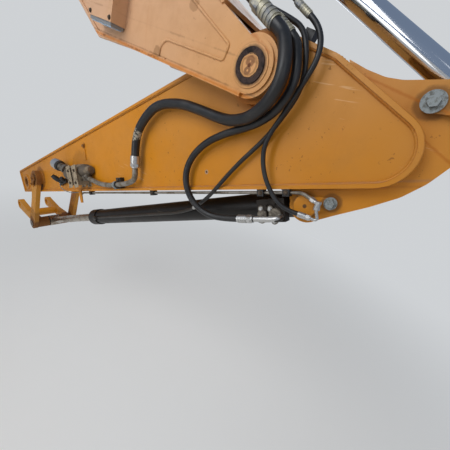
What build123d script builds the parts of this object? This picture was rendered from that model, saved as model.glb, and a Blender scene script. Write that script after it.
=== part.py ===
from build123d import *
import os
from math import acos, asin, atan2, cos, degrees, hypot, pi, radians, sin, tan

# Working arm of a wheeled excavator: the front boom, the stick folded under it, both cylinders,
# the tool linkage, and the hoses and pipes. Millimetres. The part stands as it is parked: +Z up,
# +Y across the arm away from its hose side, and the origin in the boom's root bore.
#
# Everything is drawn in the arm's side plane, whose zero is the stick pivot: x runs along the
# stick's underside towards its rear end, y is square to it, and depth is measured across the arm,
# negative on the hose side.
os.makedirs("parts", exist_ok=True)

# Pin centres in the side plane
arm_tilt = 20.7
boom_root = (-1950.0, 2200.0)
lift_foot = (-1257.0, 2077.0)
lift_eye = (660.0, -230.0)
stick_depth = 445.0
tool_foot = (165.0, -stick_depth - 70.0)
rocker_pivot = (-2565.0, -stick_depth + 145.0)
rocker_end = (-2930.0, -stick_depth - 355.0)
nose_pin = (-3020.0, -stick_depth + 115.0)
tool_link_length = 550.0
tool_reach = 500.0

# Pins and bores
main_pin_radius = 40.0
small_pin_radius = 35.0
pin_clearance = 0.05
seat_gap = 0.1

# Boom box
boom_half_width = 255.0
boom_side_thickness = 12.0
boom_flange_thickness = 14.0
flange_overhang = 7.0
cheek_thickness = 40.0
nose_radius = 90.0
nose_pad_radius = 72.0
nose_pad_height = 3.0
collar_radius = 58.5
boom_top_angle = 127.8
boom_underside_angle = 150.3
boom_top_distance = 64.0
boom_underside_distance = 90.0
boom_corner = (-940.0, 412.0)
root_radius = 136.0
root_boss_radius = 85.0
upper_arm_length = 480.0
lower_arm_length = 500.0
nose_gap_start = 450.0
top_plate_start = 245.0

# Stick box
stick_half_width = 155.0
stick_side_thickness = 10.0
wrap_thickness = 14.0
wrap_half_width = 168.0
hump_radius = 149.0
scallop_back = 175.0
scallop_rise = 60.0
piston_margin = 90.0
cut_reach = 400.0
stick_top_slope = 6.28
stick_rear_radius = 120.0
pivot_boss_radius = 80.0
pivot_ring_radius = 118.0
nose_boss_radius = 75.0
nose_overhang = 148.0
rocker_boss_radius = 68.0

# Rear ears of the stick
ear_inner = 80.0
ear_thickness = 40.0
lift_ear_radius = 100.0
tool_ear_radius = 70.0

# Cylinders
lift_barrel_radius = 75.0
lift_barrel_length = 1750.0
lift_rod_radius = 40.0
lift_eye_radius = 84.0
tool_barrel_radius = 64.0
tool_barrel_length = 2030.0
tool_rod_radius = 36.0
tool_eye_radius = 60.0
eye_half_width = 77.0
tool_eye_half_width = 52.0
gland_length = 110.0
gland_proud = 7.0
barrel_wall = 14.0
piston_gap = 0.5

# Tool linkage
rocker_inner = 176.0
rocker_thickness = 40.0
rocker_top_radius = 70.0
rocker_low_radius = 62.0
link_hub_radius = 58.0
link_arm_inner = 118.0

tilt = radians(arm_tilt)


def place(point, depth=0.0):
    """Point of the side plane, in the part's own frame."""
    x = point[0] - boom_root[0]
    y = point[1] - boom_root[1]
    return Vector(x * cos(tilt) - y * sin(tilt), depth, x * sin(tilt) + y * cos(tilt))


def side(depth=0.0, point=(0.0, 0.0), turn=0.0):
    """Side plane moved to a depth and a point, turned anticlockwise as the hose side sees it."""
    angle = tilt + radians(turn)
    return Plane(origin=place(point, depth), x_dir=(cos(angle), 0, sin(angle)), z_dir=(0, -1, 0))


def along(angle, run, offset, start=(0.0, 0.0)):
    """Point at a run along a direction and an offset to its right."""
    a = radians(angle)
    return (start[0] + run * cos(a) + offset * sin(a), start[1] + run * sin(a) - offset * cos(a))


def axial(start, end, run=0.0):
    """Plane square to the line between two pins, at a run from the first."""
    angle = atan2(end[1] - start[1], end[0] - start[0])
    point = (start[0] + run * cos(angle), start[1] + run * sin(angle))
    return Plane(origin=place(point), x_dir=(0, 1, 0), z_dir=(cos(tilt + angle), 0, sin(tilt + angle)))


def corners(edges, grow=0.0):
    """Corners of a convex outline whose edges are an outward normal and a distance from zero."""
    points = []
    for (angle_a, distance_a, *_), (angle_b, distance_b, *_) in zip(edges, edges[1:] + edges[:1]):
        a, b = radians(angle_a), radians(angle_b)
        da, db = distance_a + grow, distance_b + grow
        turn = sin(b - a)
        points.append(((da * sin(b) - db * sin(a)) / turn, (db * cos(a) - da * cos(b)) / turn))
    return points


def corner_at(point):
    """Corner of the sketch in hand that lies nearest to a point."""
    return vertices().sort_by(lambda v: hypot(v.X - point[0], v.Y - point[1]))[0]


def outline(edges, grow=0.0):
    """Face inside such an outline, each corner rounded by the radius its first edge names."""
    points = corners(edges, grow)
    with BuildSketch() as shape:
        Polygon(*points, align=None)
        for (_, _, radius), point in zip(edges, points):
            fillet(corner_at(point), radius + grow)
    return shape.sketch


def distance_to(angle, point):
    """Distance of an edge with this outward normal that passes through a point."""
    return point[0] * cos(radians(angle)) + point[1] * sin(radians(angle))


# Boom outline: the normals follow from the top edge, the underside and the root boss
top_normal = boom_top_angle - 90.0
underside_normal = boom_underside_angle + 90.0
root_run = hypot(boom_root[0] - boom_corner[0], boom_root[1] - boom_corner[1])
root_angle = degrees(atan2(boom_root[1] - boom_corner[1], boom_root[0] - boom_corner[0]))
rear_normal = root_angle + degrees(asin((root_radius + boom_flange_thickness) / root_run)) + 90.0
shoulder = along(boom_top_angle, 2550.0, boom_top_distance)
shoulder_run = hypot(boom_root[0] - shoulder[0], boom_root[1] - shoulder[1])
shoulder_angle = degrees(atan2(boom_root[1] - shoulder[1], boom_root[0] - shoulder[0]))
shoulder_normal = shoulder_angle - degrees(asin(root_radius / shoulder_run)) - 90.0
boom_edges = [
    # outward normal, distance from the stick pivot, corner radius after the edge
    (top_normal, boom_top_distance, 300.0),
    (shoulder_normal, distance_to(shoulder_normal, boom_root) + root_radius, root_radius),
    (rear_normal, distance_to(rear_normal, boom_root) + root_radius, 110.0),
    (underside_normal, boom_underside_distance, 40.0),
    (320.0, 60.0, 20.0),
]

# Stick outline, outside its wrapper
stick_top_normal = 90.0 + stick_top_slope
stick_edges = [
    # outward normal, distance from the stick pivot, corner radius after the edge
    (stick_top_normal, hump_radius, 20.0),
    (189.7, distance_to(189.7, nose_pin) + nose_overhang, 20.0),
    (270.0, stick_depth, stick_rear_radius),
    (42.4, 192.7, 60.0),
    (54.4, hump_radius, hump_radius),
]

# Boom

# Nose cheeks: a round boss with two arms along the boom's edges, and the side plate's point between them
lower_arm = [
    along(boom_underside_angle, 0.0, -15.0),
    along(boom_underside_angle, lower_arm_length, -15.0),
    along(boom_underside_angle, lower_arm_length, -boom_underside_distance),
    along(boom_underside_angle, 0.0, -boom_underside_distance),
]
upper_arm = [
    along(boom_top_angle, 0.0, boom_top_distance),
    along(boom_top_angle, upper_arm_length, boom_top_distance),
    along(boom_top_angle, upper_arm_length, -8.0),
    along(boom_top_angle, 0.0, -8.0),
]
arm_end_rounding = 50.0
notch_radius = 125.0


notch = [
    along(boom_top_angle, 0.0, -8.0),
    along(boom_top_angle, notch_radius, -8.0),
    along(boom_underside_angle, notch_radius, -15.0),
    along(boom_underside_angle, 0.0, -15.0),
]
nose_side = [
    along(boom_top_angle, notch_radius, -8.0),
    along(boom_top_angle, notch_radius, 300.0),
    (300.0, -300.0),
    along(boom_underside_angle, notch_radius, -300.0),
    along(boom_underside_angle, notch_radius, -15.0),
]
lower_rim = [
    along(boom_underside_angle, nose_gap_start, -boom_underside_distance),
    along(boom_underside_angle, nose_gap_start, -boom_underside_distance - boom_flange_thickness),
    along(boom_underside_angle, 0.0, -boom_underside_distance - boom_flange_thickness),
    along(boom_underside_angle, 0.0, -boom_underside_distance),
]
with BuildSketch() as cheek_outline:
    Circle(nose_radius)
    Polygon(*lower_arm, align=None)
    Polygon(*upper_arm, align=None)
    Polygon(*notch, align=None)
    fillet(corner_at(lower_arm[1]), arm_end_rounding)

boom_plate = outline(boom_edges)
boom_shell = outline(boom_edges, boom_flange_thickness)
stick_shell = outline(stick_edges)
stick_plate = outline(stick_edges, -wrap_thickness)


cheek_inner = boom_half_width - cheek_thickness
pad_face = boom_half_width + nose_pad_height
collar_face = pad_face + 4.0
with BuildPart() as boom_nose_cheeks:
    with BuildSketch(side(-cheek_inner)):
        add(cheek_outline.sketch)
    extrude(amount=cheek_thickness)
    with BuildSketch(side(-cheek_inner)):
        Circle(nose_radius + boom_flange_thickness)
    extrude(amount=cheek_thickness - 8.0)
    with BuildSketch(side(-cheek_inner)):
        Polygon(*lower_rim, align=None)
    extrude(amount=cheek_thickness + flange_overhang)
    with BuildSketch(side(-cheek_inner)):
        Circle(nose_pad_radius)
    extrude(amount=cheek_thickness + nose_pad_height)
    with BuildSketch(side(-cheek_inner + 1.0)):
        Circle(main_pin_radius + pin_clearance)
    extrude(amount=cheek_thickness + 20.0, mode=Mode.SUBTRACT)
    mirror(about=Plane.XZ)
boom_nose_cheeks.part.label = "boom_nose_cheeks"
export_step(boom_nose_cheeks.part, "parts/boom_nose_cheeks.step")

with BuildPart() as boom_side_plates:
    with BuildSketch(side(-boom_half_width + boom_side_thickness)):
        add(boom_plate)
        add(cheek_outline.sketch, mode=Mode.SUBTRACT)
        Polygon(*nose_side, align=None, mode=Mode.SUBTRACT)
        with Locations(Location((boom_root[0], boom_root[1], 0))):
            Circle(root_boss_radius + seat_gap, mode=Mode.SUBTRACT)
    extrude(amount=boom_side_thickness)
    mirror(about=Plane.XZ)
boom_side_plates.part.label = "boom_side_plates"
export_step(boom_side_plates.part, "parts/boom_side_plates.step")

flange_half_width = boom_half_width + flange_overhang
with BuildPart() as boom_bottom_plate:
    with BuildSketch(side()):
        add(boom_shell)
        add(boom_plate, mode=Mode.SUBTRACT)
        Polygon(
            along(boom_underside_angle, nose_gap_start, -cut_reach),
            along(boom_underside_angle, nose_gap_start, -20.0),
            along(boom_top_angle, 2700.0, -60.0),
            along(boom_top_angle, 2700.0, -1600.0),
            align=None,
            mode=Mode.INTERSECT,
        )
    extrude(amount=flange_half_width, both=True)
boom_bottom_plate.part.label = "boom_bottom_plate"
export_step(boom_bottom_plate.part, "parts/boom_bottom_plate.step")

with BuildPart() as boom_top_plate:
    with BuildSketch(side()):
        add(boom_shell)
        add(boom_plate, mode=Mode.SUBTRACT)
        Polygon(
            along(boom_top_angle, top_plate_start, cut_reach),
            along(boom_top_angle, top_plate_start, 0.0),
            along(boom_top_angle, 2680.0, -20.0),
            along(boom_top_angle, 2680.0, cut_reach),
            align=None,
            mode=Mode.INTERSECT,
        )
    extrude(amount=flange_half_width, both=True)
boom_top_plate.part.label = "boom_top_plate"
export_step(boom_top_plate.part, "parts/boom_top_plate.step")

# Plate that closes the box between the cheeks, clear of the stick
closing_low = along(boom_underside_angle, nose_gap_start + 8.0, -boom_underside_distance + 0.5)
closing_high = along(boom_top_angle, top_plate_start + 20.0, boom_top_distance - 15.0)
closing_run = hypot(closing_high[0] - closing_low[0], closing_high[1] - closing_low[1])
closing_turn = degrees(atan2(closing_high[1] - closing_low[1], closing_high[0] - closing_low[0]))
with BuildPart() as boom_closing_plate:
    with BuildSketch(side(0.0, closing_low, closing_turn)):
        Rectangle(closing_run, boom_side_thickness, align=(Align.MIN, Align.MIN))
    extrude(amount=cheek_inner - seat_gap, both=True)
boom_closing_plate.part.label = "boom_closing_plate"
export_step(boom_closing_plate.part, "parts/boom_closing_plate.step")

# Root boss: a tube across the boom that hangs it on its mount
root_bore_radius = 40.05
root_half_length = boom_half_width + 15.0
with BuildPart() as boom_root_boss:
    with BuildSketch(side(0.0, boom_root)):
        Circle(root_boss_radius)
        Circle(root_bore_radius, mode=Mode.SUBTRACT)
    extrude(amount=root_half_length, both=True)
boom_root_boss.part.label = "boom_root_boss"
export_step(boom_root_boss.part, "parts/boom_root_boss.step")

# Ears for the stick cylinder's foot, on the top plate
foot_ear_inner = 80.0
foot_ear_thickness = 38.0
foot_ear_radius = 95.0
foot_run = lift_foot[0] * cos(radians(boom_top_angle)) + lift_foot[1] * sin(radians(boom_top_angle))
top_face = boom_top_distance + boom_flange_thickness
with BuildPart() as boom_foot_ears:
    with BuildSketch(side(-foot_ear_inner)):
        with Locations(Location((lift_foot[0], lift_foot[1], 0))):
            Circle(foot_ear_radius)
        Polygon(
            along(boom_top_angle, foot_run - 250.0, top_face),
            along(boom_top_angle, foot_run - 84.0, top_face + 245.0),
            along(boom_top_angle, foot_run + 90.0, top_face + 170.0),
            along(boom_top_angle, foot_run + 120.0, top_face),
            align=None,
        )
        with Locations(Location((lift_foot[0], lift_foot[1], 0))):
            Circle(main_pin_radius + pin_clearance, mode=Mode.SUBTRACT)
    extrude(amount=foot_ear_thickness)
    mirror(about=Plane.XZ)
boom_foot_ears.part.label = "boom_foot_ears"
export_step(boom_foot_ears.part, "parts/boom_foot_ears.step")


def make_pin(point, radius, half_length):
    """Round pin across the arm with bevelled ends."""
    with BuildSketch(side(0.0, point)) as shape:
        Circle(radius)
    extrude(shape.sketch, amount=half_length, both=True)
    chamfer(edges().filter_by(GeomType.CIRCLE), 2.0)


with BuildPart() as lift_foot_pin:
    make_pin(lift_foot, main_pin_radius, foot_ear_inner + foot_ear_thickness + 14.0)
lift_foot_pin.part.label = "lift_foot_pin"
export_step(lift_foot_pin.part, "parts/lift_foot_pin.step")

with BuildPart() as stick_pivot_pin:
    make_pin((0.0, 0.0), main_pin_radius, collar_face + 1.0)
stick_pivot_pin.part.label = "stick_pivot_pin"
export_step(stick_pivot_pin.part, "parts/stick_pivot_pin.step")

with BuildPart() as pivot_pin_collars:
    with BuildSketch(side(-pad_face)):
        Circle(collar_radius)
        Circle(main_pin_radius + seat_gap, mode=Mode.SUBTRACT)
    extrude(amount=collar_face - pad_face)
    mirror(about=Plane.XZ)
pivot_pin_collars.part.label = "pivot_pin_collars"
export_step(pivot_pin_collars.part, "parts/pivot_pin_collars.step")

# Stick

with BuildPart() as stick_side_plates:
    with BuildSketch(side(-stick_half_width + stick_side_thickness)):
        add(stick_plate)
        Circle(pivot_boss_radius + seat_gap, mode=Mode.SUBTRACT)
        with Locations(Location((rocker_pivot[0], rocker_pivot[1], 0))):
            Circle(rocker_boss_radius + seat_gap, mode=Mode.SUBTRACT)
        with Locations(Location((nose_pin[0], nose_pin[1], 0))):
            Circle(nose_boss_radius + seat_gap, mode=Mode.SUBTRACT)
    extrude(amount=stick_side_thickness)
    mirror(about=Plane.XZ)
stick_side_plates.part.label = "stick_side_plates"
export_step(stick_side_plates.part, "parts/stick_side_plates.step")

scallop_radius = 160.0
scallop_centre = (lift_eye[0] - scallop_back, lift_eye[1] + scallop_rise)

# The wrapper turns from the underside round the rear end and up to the hump
wrap_end = corners(stick_edges)[3]
wrap_end_normal = 48.4
with BuildPart() as stick_wrapper:
    with BuildSketch(side()):
        add(stick_shell)
        add(stick_plate, mode=Mode.SUBTRACT)
        Polygon(
            (nose_pin[0] - 80.0, -stick_depth - 50.0),
            (nose_pin[0] - 80.0, -stick_depth + 60.0),
            along(wrap_end_normal, -200.0, 6.0, wrap_end),
            along(wrap_end_normal, 60.0, 6.0, wrap_end),
            (lift_eye[0], 0.0),
            (lift_eye[0], -stick_depth - 50.0),
            align=None,
            mode=Mode.INTERSECT,
        )
    extrude(amount=wrap_half_width, both=True)
    with BuildSketch(side()):
        with Locations(scallop_centre):
            Circle(scallop_radius)
    extrude(amount=ear_inner, both=True, mode=Mode.SUBTRACT)
stick_wrapper.part.label = "stick_wrapper"
export_step(stick_wrapper.part, "parts/stick_wrapper.step")

# Between the ears the wrapper is scalloped, so that the stick cylinder's eye has room to swing
with BuildSketch() as scallop:
    with Locations(scallop_centre):
        Circle(scallop_radius)
    add(stick_shell, mode=Mode.INTERSECT)
with BuildSketch() as scallop_lining:
    with Locations(scallop_centre):
        Circle(scallop_radius + wrap_thickness)
        Circle(scallop_radius, mode=Mode.SUBTRACT)
    add(stick_plate, mode=Mode.INTERSECT)
with BuildSketch() as scallop_wall:
    with Locations(scallop_centre):
        Circle(scallop_radius + wrap_thickness)
    add(stick_plate, mode=Mode.INTERSECT)
with BuildPart() as scallop_plates:
    with BuildSketch(side(-ear_inner)):
        add(scallop_wall.sketch)
    extrude(amount=wrap_thickness)
    mirror(about=Plane.XZ)
    with BuildSketch(side()):
        add(scallop_lining.sketch)
    extrude(amount=ear_inner, both=True)
scallop_plates.part.label = "scallop_plates"
export_step(scallop_plates.part, "parts/scallop_plates.step")

with BuildPart() as stick_top_plate:
    with BuildSketch(side()):
        add(stick_shell)
        add(stick_plate, mode=Mode.SUBTRACT)
        Polygon(
            (nose_pin[0] - cut_reach, -stick_depth - 50.0),
            (nose_pin[0] - 80.5, -stick_depth - 50.0),
            (nose_pin[0] - 80.5, -stick_depth + 60.0),
            along(wrap_end_normal, -200.0, 5.5, wrap_end),
            along(wrap_end_normal, 60.0, 5.5, wrap_end),
            (0.0, 2 * hump_radius),
            (nose_pin[0] - cut_reach, 2 * hump_radius),
            align=None,
            mode=Mode.INTERSECT,
        )
    extrude(amount=wrap_half_width - 4.0, both=True)
stick_top_plate.part.label = "stick_top_plate"
export_step(stick_top_plate.part, "parts/stick_top_plate.step")


def make_boss(point, radius, bore, half_length):
    """Bored tube across the stick."""
    with BuildSketch(side(0.0, point)) as shape:
        Circle(radius)
        Circle(bore, mode=Mode.SUBTRACT)
    extrude(shape.sketch, amount=half_length, both=True)


with BuildPart() as stick_pivot_boss:
    make_boss((0.0, 0.0), pivot_boss_radius, main_pin_radius + pin_clearance, stick_half_width)
    with BuildSketch(side(-stick_half_width)):
        Circle(pivot_ring_radius)
        Circle(main_pin_radius + pin_clearance, mode=Mode.SUBTRACT)
    extrude(amount=cheek_inner - 0.5 - stick_half_width)
    mirror(about=Plane.XZ)
stick_pivot_boss.part.label = "stick_pivot_boss"
export_step(stick_pivot_boss.part, "parts/stick_pivot_boss.step")

nose_half_length = stick_half_width + 8.0
with BuildPart() as stick_nose_boss:
    make_boss(nose_pin, nose_boss_radius, small_pin_radius + pin_clearance, nose_half_length)
stick_nose_boss.part.label = "stick_nose_boss"
export_step(stick_nose_boss.part, "parts/stick_nose_boss.step")

with BuildPart() as rocker_pivot_boss:
    make_boss(rocker_pivot, rocker_boss_radius, small_pin_radius + pin_clearance, rocker_inner - 0.5)
rocker_pivot_boss.part.label = "rocker_pivot_boss"
export_step(rocker_pivot_boss.part, "parts/rocker_pivot_boss.step")

rocker_outer = rocker_inner + rocker_thickness
with BuildPart() as rocker_pivot_pin:
    make_pin(rocker_pivot, small_pin_radius, rocker_outer + 8.0)
rocker_pivot_pin.part.label = "rocker_pivot_pin"
export_step(rocker_pivot_pin.part, "parts/rocker_pivot_pin.step")

# Ear plates that carry the stick cylinder's eye and the tool cylinder's foot
ear_bends = [
    (352.0, -68.0), (405.0, -104.0), (452.0, -124.0),
    (535.0, -438.0), (471.0, -480.0), (385.0, -514.0),
]
ear_bend_radius = 110.0
ear_outline = [
    (300.0, -24.0),
    *ear_bends[:3],
    (555.0, -148.0),
    (lift_eye[0], lift_eye[1] + lift_ear_radius),
    lift_eye,
    along(0.0, 0.0, 0.0, (lift_eye[0] + 20.0, lift_eye[1] - lift_ear_radius + 3.0)),
    (582.0, -392.0),
    *ear_bends[3:],
    (274.0, -550.0),
    (tool_foot[0] + 26.0, tool_foot[1] - 64.0),
    (tool_foot[0] - 62.0, tool_foot[1] - 30.0),
    (tool_foot[0] - 80.0, -stick_depth + 30.0),
    (290.0, -300.0),
]
ear_outer = ear_inner + ear_thickness
ear_cut = outline(stick_edges, 0.3)
with BuildPart() as stick_rear_ears:
    with BuildSketch(side(-ear_inner)):
        Polygon(*ear_outline, align=None)
        for bend in ear_bends:
            fillet(corner_at(bend), ear_bend_radius)
        with Locations(Location((lift_eye[0], lift_eye[1], 0))):
            Circle(lift_ear_radius)
        with Locations(Location((tool_foot[0], tool_foot[1], 0))):
            Circle(tool_ear_radius)
        add(ear_cut, mode=Mode.SUBTRACT)
        with Locations(Location((lift_eye[0], lift_eye[1], 0))):
            Circle(main_pin_radius + seat_gap, mode=Mode.SUBTRACT)
        with Locations(Location((tool_foot[0], tool_foot[1], 0))):
            Circle(small_pin_radius + pin_clearance, mode=Mode.SUBTRACT)
    extrude(amount=ear_thickness)
    mirror(about=Plane.XZ)
stick_rear_ears.part.label = "stick_rear_ears"
export_step(stick_rear_ears.part, "parts/stick_rear_ears.step")

# The eye pin's two ends stay in the ears, and its middle stays in the rod's eye
with BuildPart() as lift_eye_pin_ends:
    with BuildSketch(side(-ear_inner, lift_eye)):
        Circle(main_pin_radius)
    extrude(amount=ear_thickness + 12.0)
    mirror(about=Plane.XZ)
lift_eye_pin_ends.part.label = "lift_eye_pin_ends"
export_step(lift_eye_pin_ends.part, "parts/lift_eye_pin_ends.step")

with BuildPart() as tool_foot_pin:
    make_pin(tool_foot, small_pin_radius, ear_outer + 12.0)
tool_foot_pin.part.label = "tool_foot_pin"
export_step(tool_foot_pin.part, "parts/tool_foot_pin.step")

# Cylinders


def make_barrel(start, end, radius, length, eye_radius, bore, half_width, pin_radius):
    """Foot eye, closed base and hollow barrel along the line between two pins."""
    with BuildSketch(axial(start, end)) as shape:
        Circle(radius)
    extrude(shape.sketch, amount=length)
    with BuildSketch(side(0.0, start)) as shape:
        Circle(eye_radius)
    extrude(shape.sketch, amount=half_width, both=True)
    base = eye_radius + 40.0
    with BuildSketch(axial(start, end, base)) as shape:
        Circle(bore)
    extrude(shape.sketch, amount=length - base, mode=Mode.SUBTRACT)
    with BuildSketch(side(0.0, start)) as shape:
        Circle(pin_radius + pin_clearance)
    extrude(shape.sketch, amount=half_width + 1.0, both=True, mode=Mode.SUBTRACT)


def make_gland(start, end, radius, length, bore, rod_radius):
    """Screwed end ring of a barrel, with its nose inside the bore."""
    with BuildSketch(axial(start, end, length)) as shape:
        Circle(radius + gland_proud)
        Circle(rod_radius + pin_clearance, mode=Mode.SUBTRACT)
    extrude(shape.sketch, amount=gland_length)
    with BuildSketch(axial(start, end, length)) as shape:
        Circle(bore - seat_gap)
        Circle(rod_radius + pin_clearance, mode=Mode.SUBTRACT)
    extrude(shape.sketch, amount=-gland_length)


def make_rod(start, end, rod_radius, bore, inner, half_width, eye_radius, pin_radius):
    """Rod with its piston and its eye at the far pin."""
    reach = hypot(end[0] - start[0], end[1] - start[1])
    with BuildSketch(axial(start, end, inner)) as shape:
        Circle(rod_radius)
    extrude(shape.sketch, amount=reach - inner)
    with BuildSketch(axial(start, end, inner)) as shape:
        Circle(bore - piston_gap)
    extrude(shape.sketch, amount=70.0)
    with BuildSketch(side(0.0, end)) as shape:
        Circle(eye_radius)
    extrude(shape.sketch, amount=half_width, both=True)
    with BuildSketch(side(0.0, end)) as shape:
        Circle(pin_radius + seat_gap)
    extrude(shape.sketch, amount=half_width + 1.0, both=True, mode=Mode.SUBTRACT)


lift_bore = lift_barrel_radius - barrel_wall
with BuildPart() as lift_barrel:
    make_barrel(
        lift_foot, lift_eye, lift_barrel_radius, lift_barrel_length - gland_length,
        lift_eye_radius, lift_bore, foot_ear_inner - 3.0, main_pin_radius,
    )
lift_barrel.part.label = "lift_barrel"
export_step(lift_barrel.part, "parts/lift_barrel.step")

with BuildPart() as lift_gland:
    make_gland(
        lift_foot, lift_eye, lift_barrel_radius, lift_barrel_length - gland_length,
        lift_bore, lift_rod_radius,
    )
lift_gland.part.label = "lift_gland"
export_step(lift_gland.part, "parts/lift_gland.step")

lift_piston_run = lift_barrel_length - 2 * gland_length - piston_margin
with BuildPart() as lift_rod:
    make_rod(
        lift_foot, lift_eye, lift_rod_radius, lift_bore, lift_piston_run,
        eye_half_width, lift_eye_radius, main_pin_radius,
    )
lift_rod.part.label = "lift_rod"
export_step(lift_rod.part, "parts/lift_rod.step")

with BuildPart() as lift_eye_pin:
    make_pin(lift_eye, main_pin_radius, eye_half_width + 1.0)
lift_eye_pin.part.label = "lift_eye_pin"
export_step(lift_eye_pin.part, "parts/lift_eye_pin.step")

tool_bore = tool_barrel_radius - barrel_wall + 2.0
with BuildPart() as tool_barrel:
    make_barrel(
        tool_foot, rocker_end, tool_barrel_radius, tool_barrel_length - gland_length,
        tool_eye_radius, tool_bore, eye_half_width, small_pin_radius,
    )
tool_barrel.part.label = "tool_barrel"
export_step(tool_barrel.part, "parts/tool_barrel.step")

with BuildPart() as tool_gland:
    make_gland(
        tool_foot, rocker_end, tool_barrel_radius, tool_barrel_length - gland_length,
        tool_bore, tool_rod_radius,
    )
tool_gland.part.label = "tool_gland"
export_step(tool_gland.part, "parts/tool_gland.step")

tool_piston_run = tool_barrel_length - 2 * gland_length - piston_margin
with BuildPart() as tool_rod:
    make_rod(
        tool_foot, rocker_end, tool_rod_radius, tool_bore, tool_piston_run,
        tool_eye_half_width, tool_eye_radius, small_pin_radius,
    )
tool_rod.part.label = "tool_rod"
export_step(tool_rod.part, "parts/tool_rod.step")

with BuildPart() as tool_eye_pin:
    make_pin(rocker_end, small_pin_radius, tool_eye_half_width + 1.0)
tool_eye_pin.part.label = "tool_eye_pin"
export_step(tool_eye_pin.part, "parts/tool_eye_pin.step")

# Tool linkage

rocker_length = hypot(rocker_end[0] - rocker_pivot[0], rocker_end[1] - rocker_pivot[1])
rocker_angle = degrees(atan2(rocker_end[1] - rocker_pivot[1], rocker_end[0] - rocker_pivot[0]))
with BuildPart() as rockers:
    with BuildSketch(side(-rocker_inner, rocker_pivot, rocker_angle)):
        Circle(rocker_top_radius)
        with Locations((rocker_length, 0)):
            Circle(rocker_low_radius)
        Polygon(
            (0.0, rocker_top_radius - 3.0),
            (rocker_length * 0.45, 62.0),
            (rocker_length, rocker_low_radius - 2.0),
            (rocker_length, -rocker_low_radius + 2.0),
            (rocker_length * 0.45, -40.0),
            (0.0, -rocker_top_radius + 3.0),
            align=None,
        )
        Circle(small_pin_radius + pin_clearance, mode=Mode.SUBTRACT)
        with Locations((rocker_length, 0)):
            Circle(small_pin_radius + seat_gap, mode=Mode.SUBTRACT)
    extrude(amount=rocker_thickness)
    mirror(about=Plane.XZ)
rockers.part.label = "rockers"
export_step(rockers.part, "parts/rockers.step")

link_inner = tool_eye_half_width + 8.0
with BuildPart() as rocker_end_pins:
    with BuildSketch(side(-link_inner, rocker_end)):
        Circle(small_pin_radius)
    extrude(amount=rocker_outer + 8.0 - link_inner)
    mirror(about=Plane.XZ)
rocker_end_pins.part.label = "rocker_end_pins"
export_step(rocker_end_pins.part, "parts/rocker_end_pins.step")

# The tool link's far bore lies where a tool pinned to the nose would hold it
span = hypot(nose_pin[0] - rocker_end[0], nose_pin[1] - rocker_end[1])
span_angle = atan2(nose_pin[1] - rocker_end[1], nose_pin[0] - rocker_end[0])
link_turn = acos((tool_link_length**2 + span**2 - tool_reach**2) / (2 * tool_link_length * span))
link_angle = degrees(span_angle + link_turn)
link_outer = rocker_inner - 5.0
with BuildPart() as tool_link:
    with BuildSketch(side(-link_arm_inner, rocker_end, link_angle)):
        Circle(link_hub_radius)
        with Locations((tool_link_length, 0)):
            Circle(link_hub_radius)
        Polygon(
            (0.0, link_hub_radius - 4.0),
            (tool_link_length, link_hub_radius - 4.0),
            (tool_link_length, -link_hub_radius + 4.0),
            (tool_link_length * 0.5, -30.0),
            (0.0, -link_hub_radius + 4.0),
            align=None,
        )
    extrude(amount=link_outer - link_arm_inner)
    with BuildSketch(side(-link_inner, rocker_end)):
        Circle(link_hub_radius)
    extrude(amount=link_arm_inner - link_inner)
    mirror(about=Plane.XZ)
    with BuildSketch(side(0.0, rocker_end, link_angle)):
        with Locations((tool_link_length * 0.5, 4.0)):
            Circle(44.0)
    extrude(amount=link_arm_inner, both=True)
    with BuildSketch(side(0.0, rocker_end, link_angle)):
        Circle(small_pin_radius + pin_clearance)
        with Locations((tool_link_length, 0)):
            Circle(small_pin_radius + pin_clearance)
    extrude(amount=link_outer + 1.0, both=True, mode=Mode.SUBTRACT)
tool_link.part.label = "tool_link"
export_step(tool_link.part, "parts/tool_link.step")

# Hoses and pipes


def tangent_radii(points):
    """Largest arc each corner's two runs allow."""
    radii = []
    for before, here, after in zip(points, points[1:], points[2:]):
        run_in = Vector(*here) - Vector(*before)
        run_out = Vector(*after) - Vector(*here)
        turn = run_in.get_angle(run_out)
        radii.append(0.45 * min(run_in.length, run_out.length) / tan(radians(turn / 2)))
    return radii


def make_tube(name, route, radius):
    """Tube through a route of side plane points, each with its depth."""
    points = [tuple(place((x, y), depth)) for x, y, depth in route]
    radii = tangent_radii(points)
    with BuildLine() as line:
        FilletPolyline(*points, radius=radii)
    path = line.wires()[0]
    with BuildSketch(Plane(origin=path @ 0, z_dir=path % 0)) as ring:
        Circle(radius)
    tube = sweep(ring.sketch, path=path)
    print(name, "radii", [round(r) for r in radii], "length", round(path.length))
    print(name, "volume", round(tube.volume), "section times length", round(pi * radius**2 * path.length))


def make_bar(start, end, steps):
    """Row of round or many-sided lengths between two points of the side plane, each with its depth."""
    first = place(start[:2], start[2])
    run = place(end[:2], end[2]) - first
    done = 0.0
    for share, radius, sides in steps:
        with BuildSketch(Plane(origin=first + run * done, z_dir=run)) as shape:
            if sides:
                RegularPolygon(radius, sides)
            else:
                Circle(radius)
        extrude(shape.sketch, amount=run.length * share)
        done += share


def make_block(points, depth, thickness):
    """Plate or block with this outline, from a depth outwards on the hose side."""
    with BuildSketch(side(depth)) as shape:
        Polygon(*points, align=None)
    extrude(shape.sketch, amount=thickness)


def make_disc(point, depth, radius, thickness, sides=0):
    """Round or many-sided disc across the arm, from a depth outwards on the hose side."""
    make_bar((*point, depth), (*point, depth - thickness), [(1.0, radius, sides)])


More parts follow.
